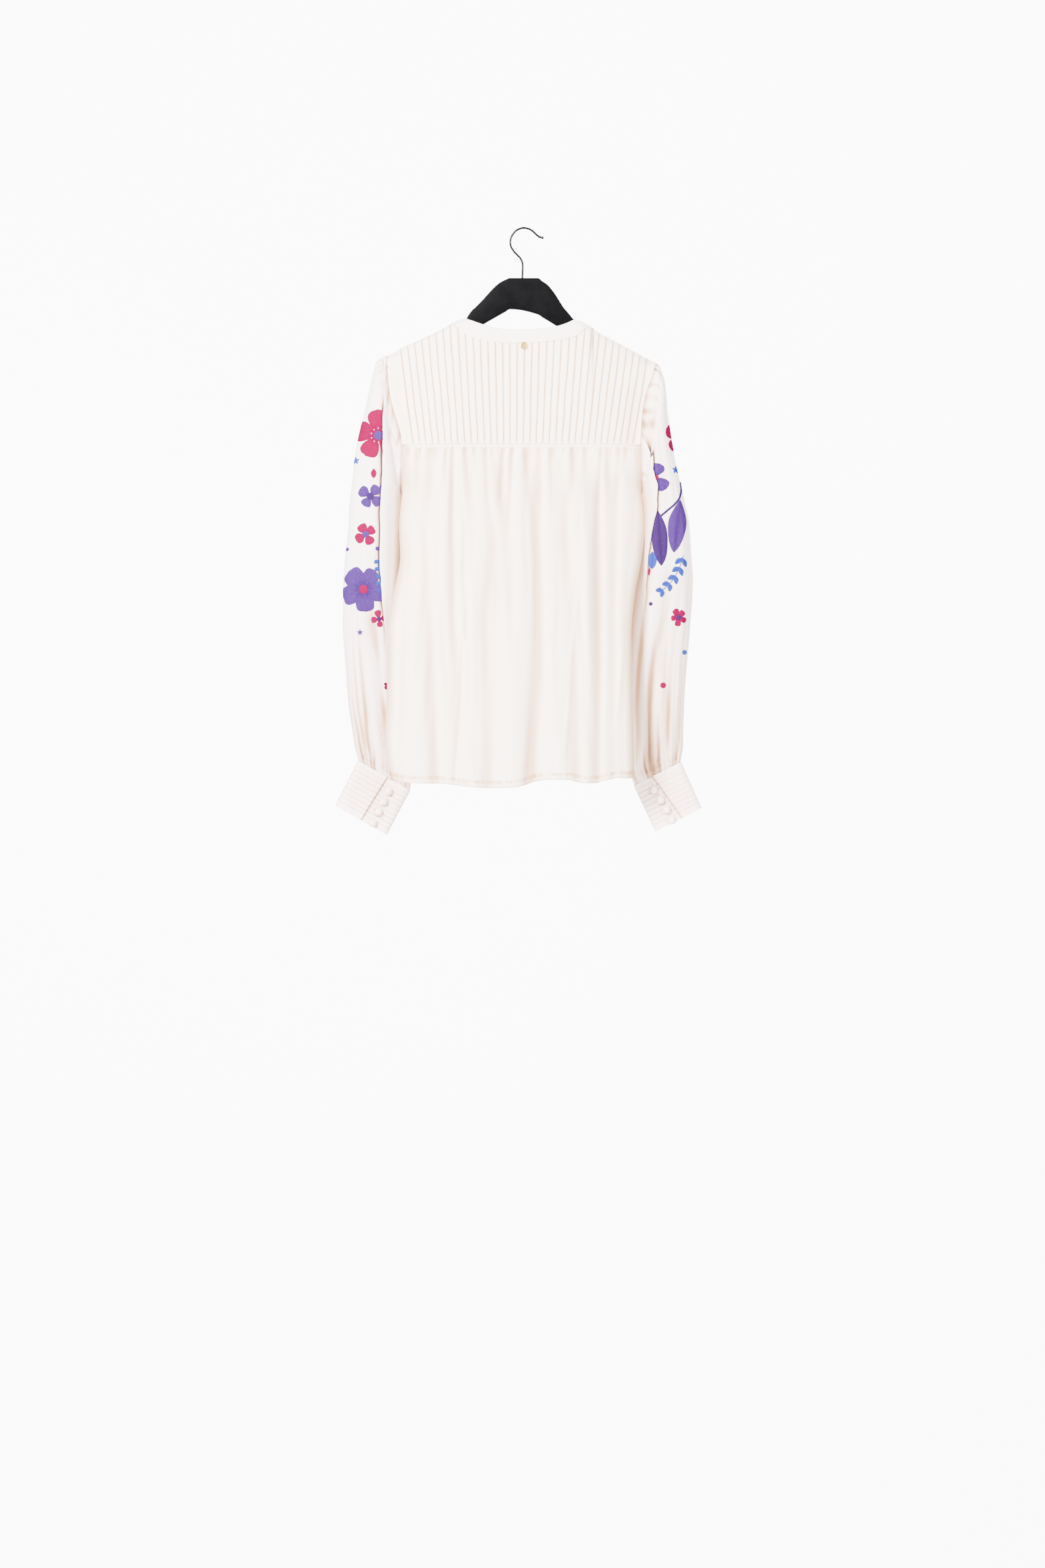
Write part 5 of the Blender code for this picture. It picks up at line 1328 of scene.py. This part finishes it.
pink = thread_material("thread_pink", (0.158, 0.0005, 0.034), (0.105, 0.0004, 0.022))
pink_dark = thread_material("thread_deep_pink", (0.115, 0.0008, 0.020), (0.075, 0.0005, 0.0125))
violet = thread_material("thread_violet", (0.051, 0.0195, 0.117), (0.027, 0.0100, 0.066))
violet_dark = thread_material("thread_dark_violet", (0.032, 0.0133, 0.066), (0.017, 0.0065, 0.037))
blue = thread_material("thread_blue", (0.021, 0.0420, 0.255), (0.0115, 0.0220, 0.145))
knots = thread_material("thread_white", (0.72, 0.62, 0.66), (0.50, 0.42, 0.50))

wood = bpy.data.materials.new("black_lacquered_wood")
nodes, links, p = tree(wood)
put(p, Base_Color=(0.0009, 0.0009, 0.0011, 1), Roughness=0.42, Specular_IOR_Level=0.03)
scuff = nodes.new("ShaderNodeTexNoise")
put(scuff, Scale=60.0, Detail=6.0, Roughness=0.7)
coord = nodes.new("ShaderNodeTexCoord")
links.new(coord.outputs["Object"], scuff.inputs["Vector"])
rough = nodes.new("ShaderNodeMapRange")
put(rough, From_Min=0.35, From_Max=0.75, To_Min=0.34, To_Max=0.58)
links.new(scuff.outputs["Fac"], rough.inputs["Value"])
links.new(rough.outputs["Result"], p.inputs["Roughness"])

metal = bpy.data.materials.new("dark_wire")
nodes, links, p = tree(metal)
put(p, Base_Color=(0.001, 0.001, 0.0012, 1), Metallic=0.0, Roughness=0.35, Specular_IOR_Level=0.12)

gold = bpy.data.materials.new("pale_gold")
nodes, links, p = tree(gold)
put(p, Base_Color=(0.80, 0.50, 0.16, 1), Metallic=1.0, Roughness=0.26)

board = board_mesh(wood)
hook = hook_wire(metal)

# back yoke
g_yoke, f = fine_yoke()
yoke = shell("yoke_cloth", g_yoke, ivory, "back_yoke", outward=(0, 1, 0.2), wall=0.7, fold=f, gain=0.4)
# gathered back panel
g_panel, f = fine_panel()
panel = shell("panel_cloth", g_panel, ivory_panel, "back_panel", outward=(0, 1, 0), wall=0.7, fold=f, gain=0.42)
# fronts
g_front_l, f = fine_front(1)
front_l = shell("front_left_cloth", g_front_l, ivory_panel, "front_left", outward=(0, -1, 0.2), wall=0.7, fold=f)
g_front_r, f = fine_front(-1)
front_r = shell("front_right_cloth", g_front_r, ivory_panel, "front_right", outward=(0, -1, 0.2), wall=0.7, fold=f)
# neckband
g_band = fine_band(band_grid())
band = shell("band_cloth", g_band, ivory, "neckband", wall=1.0)
# sleeves and cuffs
g_sleeve_l, f = fine_sleeve(SLEEVE_L, ARMHOLE_L, 1, FOLD_LINE_L, seed=100)
sleeve_l = shell("sleeve_left_cloth", g_sleeve_l, ivory_sleeve_l, "sleeve_left", wrap=True, wall=0.6, fold=f, gain=0.8)
g_sleeve_r, f = fine_sleeve(SLEEVE_R, ARMHOLE_R, -1, FOLD_LINE_R, seed=300)
sleeve_r = shell("sleeve_right_cloth", g_sleeve_r, ivory_sleeve_r, "sleeve_right", wrap=True, wall=0.6, fold=f, gain=0.8)
g_cuff_l, f = fine_cuff(CUFF_L, CUFF_LAP_L, CUFF_BUTTONS_L, 1, seed=500)
cuff_l = shell("cuff_left_cloth", g_cuff_l, ivory_cuff, "cuff_left", wall=0.9, fold=f)
g_cuff_r, f = fine_cuff(CUFF_R, CUFF_LAP_R, CUFF_BUTTONS_R, -1, seed=520)
cuff_r = shell("cuff_right_cloth", g_cuff_r, ivory_cuff, "cuff_right", wall=0.9, fold=f)

for label, g, wrap in (("yoke", g_yoke, False), ("panel", g_panel, False), ("front_l", g_front_l, False), ("front_r", g_front_r, False), ("band", g_band, False),
                       ("sleeve_l", g_sleeve_l, True), ("sleeve_r", g_sleeve_r, True), ("cuff_l", g_cuff_l, False), ("cuff_r", g_cuff_r, False)):
    print("area", label, round(area_of(g, wrap), 4))

# buttons and their loops
for side, cuff, places in (("left", CUFF_L, CUFF_BUTTONS_L), ("right", CUFF_R, CUFF_BUTTONS_R)):
    sgn = 1 if side == "left" else -1
    tl, tr, bl, br = (np.array(cuff[k]) for k in ("tl", "tr", "bl", "br"))
    across = (tl - tr) / np.linalg.norm(tl - tr)
    down_dir = (bl - tl) / np.linalg.norm(bl - tl)
    for i, (x, z) in enumerate(places):
        y = cuff_y(cuff, x, z) + 1.4
        b = dome(f"covered_button_{side}_{i + 1}", x, y, z, 1, ivory_cuff, seed=i + 7 * sgn)
        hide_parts(f"cuff_button_{side}_{i + 1}")
        pts = []
        for a in np.linspace(-100, 100, 25):
            q = np.array([x, z]) - across * 5.3 * math.cos(math.radians(a)) + down_dir * 5.1 * math.sin(math.radians(a))
            pts.append((q[0], y - 0.25, q[1]))
        for s, e in ((0, pts[0]), (1, pts[-1])):
            q = np.array([e[0], e[2]]) + across * 4.0 + down_dir * (1.2 if s == 0 else -1.2)
            if s == 0:
                pts = [(q[0], y - 0.7, q[1])] + pts
            else:
                pts = pts + [(q[0], y - 0.7, q[1])]
        cord_loop(f"loop_{side}_{i + 1}", pts, 0.7, ivory_cuff)
for i, z in enumerate(FRONT_BUTTONS_Z):
    y = float(front_y(0.0, z)) - LAP_STEP - 0.6
    b = dome(f"covered_button_front_{i + 1}", 0.0, y, z, -1, ivory, seed=40 + i)
    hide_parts(f"front_button_{i + 1}")

# gold disc
around = 64
prof = [(0.0, 0.78), (3.2, 0.80), (4.3, 0.80), (4.75, 0.68), (5.0, 0.42), (4.9, 0.12), (4.4, 0.0), (0.05, 0.0)]
ang = np.linspace(0, 2 * math.pi, around, endpoint=False)
y = float(back_y(DISC_AT[0], DISC_AT[1])) + TUCK_RISE + SEAM / 2 + 1.2
verts = []
for r, h in prof:
    for a in ang:
        dx, dz = max(r, 0.05) * math.cos(a), max(r, 0.05) * math.sin(a)
        verts.append((DISC_AT[0] + dx, y + h - dz * math.tan(math.radians(4)), DISC_AT[1] + dz))
quads = [(i * around + j, i * around + (j + 1) % around, (i + 1) * around + (j + 1) % around, (i + 1) * around + j) for i in range(len(prof) - 1) for j in range(around)]
for j in range(0, around, 2):
    quads.append((0, j, (j + 1) % around, (j + 2) % around)) if 0 < j < around - 1 else None
disc = build("gold_disc", verts, quads, gold)
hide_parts("neck_disc")

# stitches
t_panel, t_band = bvh_of(g_panel), bvh_of(g_band)
hem_x = np.linspace(-146, 178, 140)
stitches = [stitch_run("hem_stitches_back", [(x, float(ease(np.array(x), HEM["x"], HEM["z"])) + 7.6) for x in hem_x], t_panel, thread, 1)]
t_fl, t_fr = bvh_of(g_front_l), bvh_of(g_front_r)
stitches.append(stitch_run("hem_stitches_left", [(x, float(ease(np.array(x), HEM["x"], HEM["z"])) + 7.6) for x in np.linspace(-9, 178, 80)], t_fl, thread, -1))
stitches.append(stitch_run("hem_stitches_right", [(x, float(ease(np.array(x), HEM["x"], HEM["z"])) + 7.6) for x in np.linspace(-148, 9, 80)], t_fr, thread, -1))
stitches.append(stitch_run("front_edge_stitches_right", [(-11.0, z) for z in np.linspace(-246, -762, 120)], t_fr, thread, -1))
t_cl, t_cr = bvh_of(g_cuff_l), bvh_of(g_cuff_r)
for side, cuff, lap, bvh in (("left", CUFF_L, CUFF_LAP_L, t_cl), ("right", CUFF_R, CUFF_LAP_R, t_cr)):
    tl, tr, bl, br = (np.array(cuff[k]) for k in ("tl", "tr", "bl", "br"))
    line = []
    for t in np.linspace(0.02, 0.98, 40):
        place = lap[0] + (lap[1] - lap[0]) * t - 0.035
        a, b = tl + (bl - tl) * t, tr + (br - tr) * t
        line.append(tuple(a + (b - a) * place))
    stitches.append(stitch_run(f"cuff_edge_stitches_{side}", line, bvh, thread, 1, step=2.6, length=1.8, thick=0.14))

# the embroidery lies on the cloth that runs on beneath each plain fold, so the fold cuts it off
t_sl = bvh_of(fine_sleeve(SLEEVE_L, ARMHOLE_L, 1, FOLD_LINE_L, seed=100, under=True)[0], True)
t_sr = bvh_of(fine_sleeve(SLEEVE_R, ARMHOLE_R, -1, FOLD_LINE_R, seed=300, under=True)[0], True)


def in_sight_l(x, z):
    """True on the outer side of the left sleeve's plain fold."""
    return not -570 < z < -230 or x > float(ease(-z, -np.array(FOLD_LINE_L["z"]), FOLD_LINE_L["x"])) - 4.5


def in_sight_r(x, z):
    return not -500 < z < -255 or x < float(ease(-z, -np.array(FOLD_LINE_R["z"]), FOLD_LINE_R["x"])) + 4.5


left_sew, right_sew = [], []


def sew(out, name, patches, bvh, mat, raise_by=0.55):
    obj = lay(name, patches, bvh, mat, raise_by=raise_by, allow=in_sight_l if out is left_sew else in_sight_r)
    if obj:
        out.append(obj)


big = flower(567.7, 653, 38, 5, 1.52, 3, uneven=0.06, gap=0.12, wide=0.40)
sew(left_sew, "flower_big_pink", big, t_sl, pink)
sew(left_sew, "flower_big_centre", [spot(567.7, 653, 7.2)], t_sl, violet, 1.05)
sew(left_sew, "star_blue", [spot(532.7, 689.5, 4.6, 1, 5, 0.38, 1.57)], t_sl, blue)
sew(left_sew, "oval_pink", [leaf((560.5, 717), (560.5, 702.5), 9)], t_sl, pink)
sew(left_sew, "flower_violet_small", flower(555.5, 744, 19, 4, 0.62, 5, uneven=0.10, wide=0.44), t_sl, violet)
sew(left_sew, "flower_violet_small_centre", [spot(555.5, 744, 5.6)], t_sl, violet_dark, 1.05)
sew(left_sew, "bit_violet", [leaf((570, 737), (576, 723), 7)], t_sl, violet)
sew(left_sew, "flower_pink_second", flower(548, 800.6, 17.5, 4, 1.02, 6, uneven=0.10, wide=0.44), t_sl, pink)
sew(left_sew, "flower_pink_second_centre", [spot(548, 800.6, 5.4)], t_sl, violet, 1.05)
sew(left_sew, "dots_violet", [spot(519.4, 822, 3.0), spot(565.5, 822, 3.2), spot(538, 947, 3.6, 1, 5, 0.38, 1.57)], t_sl, violet)
sew(left_sew, "flower_violet_big", flower(544, 882.5, 34, 5, 0.85, 8, uneven=0.05, gap=0.10, wide=0.42), t_sl, violet)
sew(left_sew, "flower_violet_big_centre", [spot(544, 882.5, 7.0)], t_sl, pink, 1.05)
sew(left_sew, "sprig_blue", sprig([(570.5, 891), (569, 874), (567.5, 858), (566, 843)], 9.5, 5, 7.8), t_sl, blue)
sew(left_sew, "flower_pink_third", flower(567, 927, 13.5, 4, 1.45, 9, uneven=0.16, wide=0.38), t_sl, pink)
sew(left_sew, "flower_pink_third_centre", [spot(567, 927, 3.4)], t_sl, violet_dark, 1.05)
sew(left_sew, "bits_low", [spot(578, 1030, 3.6), spot(576.5, 1025, 2.4)], t_sl, pink_dark)

sew(right_sew, "petals_outer_edge", flower(1029, 651, 30, 5, 0.35, 12, uneven=0.05, wide=0.40), t_sr, pink)
sew(right_sew, "flower_violet_fold", flower(984, 716, 22, 3, 1.78, 13, uneven=0.06, wide=0.44), t_sr, violet)
sew(right_sew, "flower_violet_fold_centre", [spot(984, 716, 4.6)], t_sr, pink, 1.05)
sew(right_sew, "star_blue_right", [spot(1014.8, 703.6, 4.6, 1, 5, 0.38, 1.57)], t_sr, blue)
sew(right_sew, "stem_violet", [stem([(1022, 721), (1023.2, 733), (1020.5, 745), (1012, 756.5), (1002, 765), (991.5, 774)], 3.2)], t_sr, violet_dark, 0.9)
sew(right_sew, "leaf_violet", [leaf((1012, 827), (1021.5, 749), 28)], t_sr, violet)
sew(right_sew, "leaf_violet_deep", [leaf((993.5, 847), (987.5, 766), 25)], t_sr, violet_dark)
sew(right_sew, "drop_blue", [leaf((979.5, 852), (980, 826), 14)], t_sr, blue, 0.4)
sew(right_sew, "drip_pink", [leaf((975, 862), (976, 849), 4)], t_sr, pink)
sew(right_sew, "sprig_blue_right", sprig([(1026.5, 831), (1022, 847), (1015, 862), (1006, 874), (995, 884)], 15.5, 5, 7.6, first=0.06), t_sr, blue)
sew(right_sew, "dot_violet_right", [spot(978, 904, 3.0)], t_sr, violet_dark)
sew(right_sew, "flower_pink_right", flower(1020.4, 924, 13, 5, 1.1, 14, uneven=0.10, wide=0.36), t_sr, pink)
sew(right_sew, "flower_pink_right_centre", [spot(1020.4, 924, 4.2)], t_sr, violet_dark, 1.05)
sew(right_sew, "dots_right", [spot(1030.0, 976.5, 3.8)], t_sr, blue)
sew(right_sew, "dot_pink_right", [spot(997.3, 1026.8, 4.6)], t_sr, pink)

# white knots round the largest centre
for name, cx, cy, rr, bvh, out in (("a", 567.7, 653, 10.8, t_sl, left_sew),):
    patches = [spot(cx + rr * math.cos(a), cy + rr * math.sin(a), 0.95) for a in np.linspace(0.3, 2 * math.pi + 0.3, 10, endpoint=False)]
    sew(out, f"knots_{name}", patches, bvh, knots, 1.2)

for label, group in (("left", left_sew), ("right", right_sew)):
    print("embroidery", label, len(group), sum(len(o.data.polygons) * 2 for o in group))
stitches = [s for s in stitches if s]


# ---------------------------------------------------------------- studio
floor_mesh = bpy.data.meshes.new("studio_floor")
floor_mesh.from_pydata([(-6.0, -3.2, -2.6), (6.0, -3.2, -2.6), (6.0, 7.0, -2.6), (-6.0, 7.0, -2.6)], [], [(0, 1, 2, 3)])
floor = bpy.data.objects.new("studio_floor", floor_mesh)
pale = bpy.data.materials.new("pale_floor")
nodes, links, p = tree(pale)
put(p, Base_Color=(0.86, 0.86, 0.86, 1), Roughness=0.9)
floor_mesh.materials.append(pale)
scene.collection.objects.link(floor)

world = bpy.data.worlds.new("studio")
scene.world = world
world.use_nodes = True
back = world.node_tree.nodes["Background"]
back.inputs["Color"].default_value = (1.0, 1.0, 1.0, 1)
back.inputs["Strength"].default_value = WORLD


def area_light(name, at, to, size, energy, colour=(1, 1, 1)):
    data = bpy.data.lights.new(name, "AREA")
    data.shape = "SQUARE"
    data.size = size
    data.energy = energy
    data.color = colour
    obj = bpy.data.objects.new(name, data)
    obj.location = at
    obj.rotation_mode = "QUATERNION"
    obj.rotation_quaternion = (Vector(to) - Vector(at)).to_track_quat("-Z", "Y")
    scene.collection.objects.link(obj)
    return obj


area_light("key", (2.3, 3.6, 1.5), (0, 0, -0.45), 1.5, KEY)
area_light("fill", (-2.6, 3.4, 0.4), (0, 0, -0.45), 2.0, KEY * 0.22)
area_light("front", (-2.4, -3.6, 2.2), (0, 0, -0.45), 1.8, KEY * 0.7)

# a lit paper backdrop, well beyond the blouse
glow = bpy.data.materials.new("lit_paper")
nodes, links, p = tree(glow)
put(p, Base_Color=(0.9, 0.9, 0.9, 1), Roughness=1.0, Emission_Color=(1, 1, 1, 1), Emission_Strength=8.0)
paper_mesh = bpy.data.meshes.new("backdrop")
paper_mesh.from_pydata([(-2.3, -7.0, -3.7), (2.3, -7.0, -3.7), (2.3, -7.0, 2.2), (-2.3, -7.0, 2.2)], [], [(0, 1, 2, 3)])
paper = bpy.data.objects.new("backdrop", paper_mesh)
paper_mesh.materials.append(glow)
scene.collection.objects.link(paper)

cam_data = bpy.data.cameras.new("camera")
cam_data.sensor_width = 36.0
cam_data.lens = 83.15
cam = bpy.data.objects.new("camera", cam_data)
cam.location = (0.0, 5.03, -0.7708)
cam.rotation_euler = (math.radians(90), 0, math.radians(180))
cam_data.clip_end = 100.0
scene.collection.objects.link(cam)
scene.camera = cam
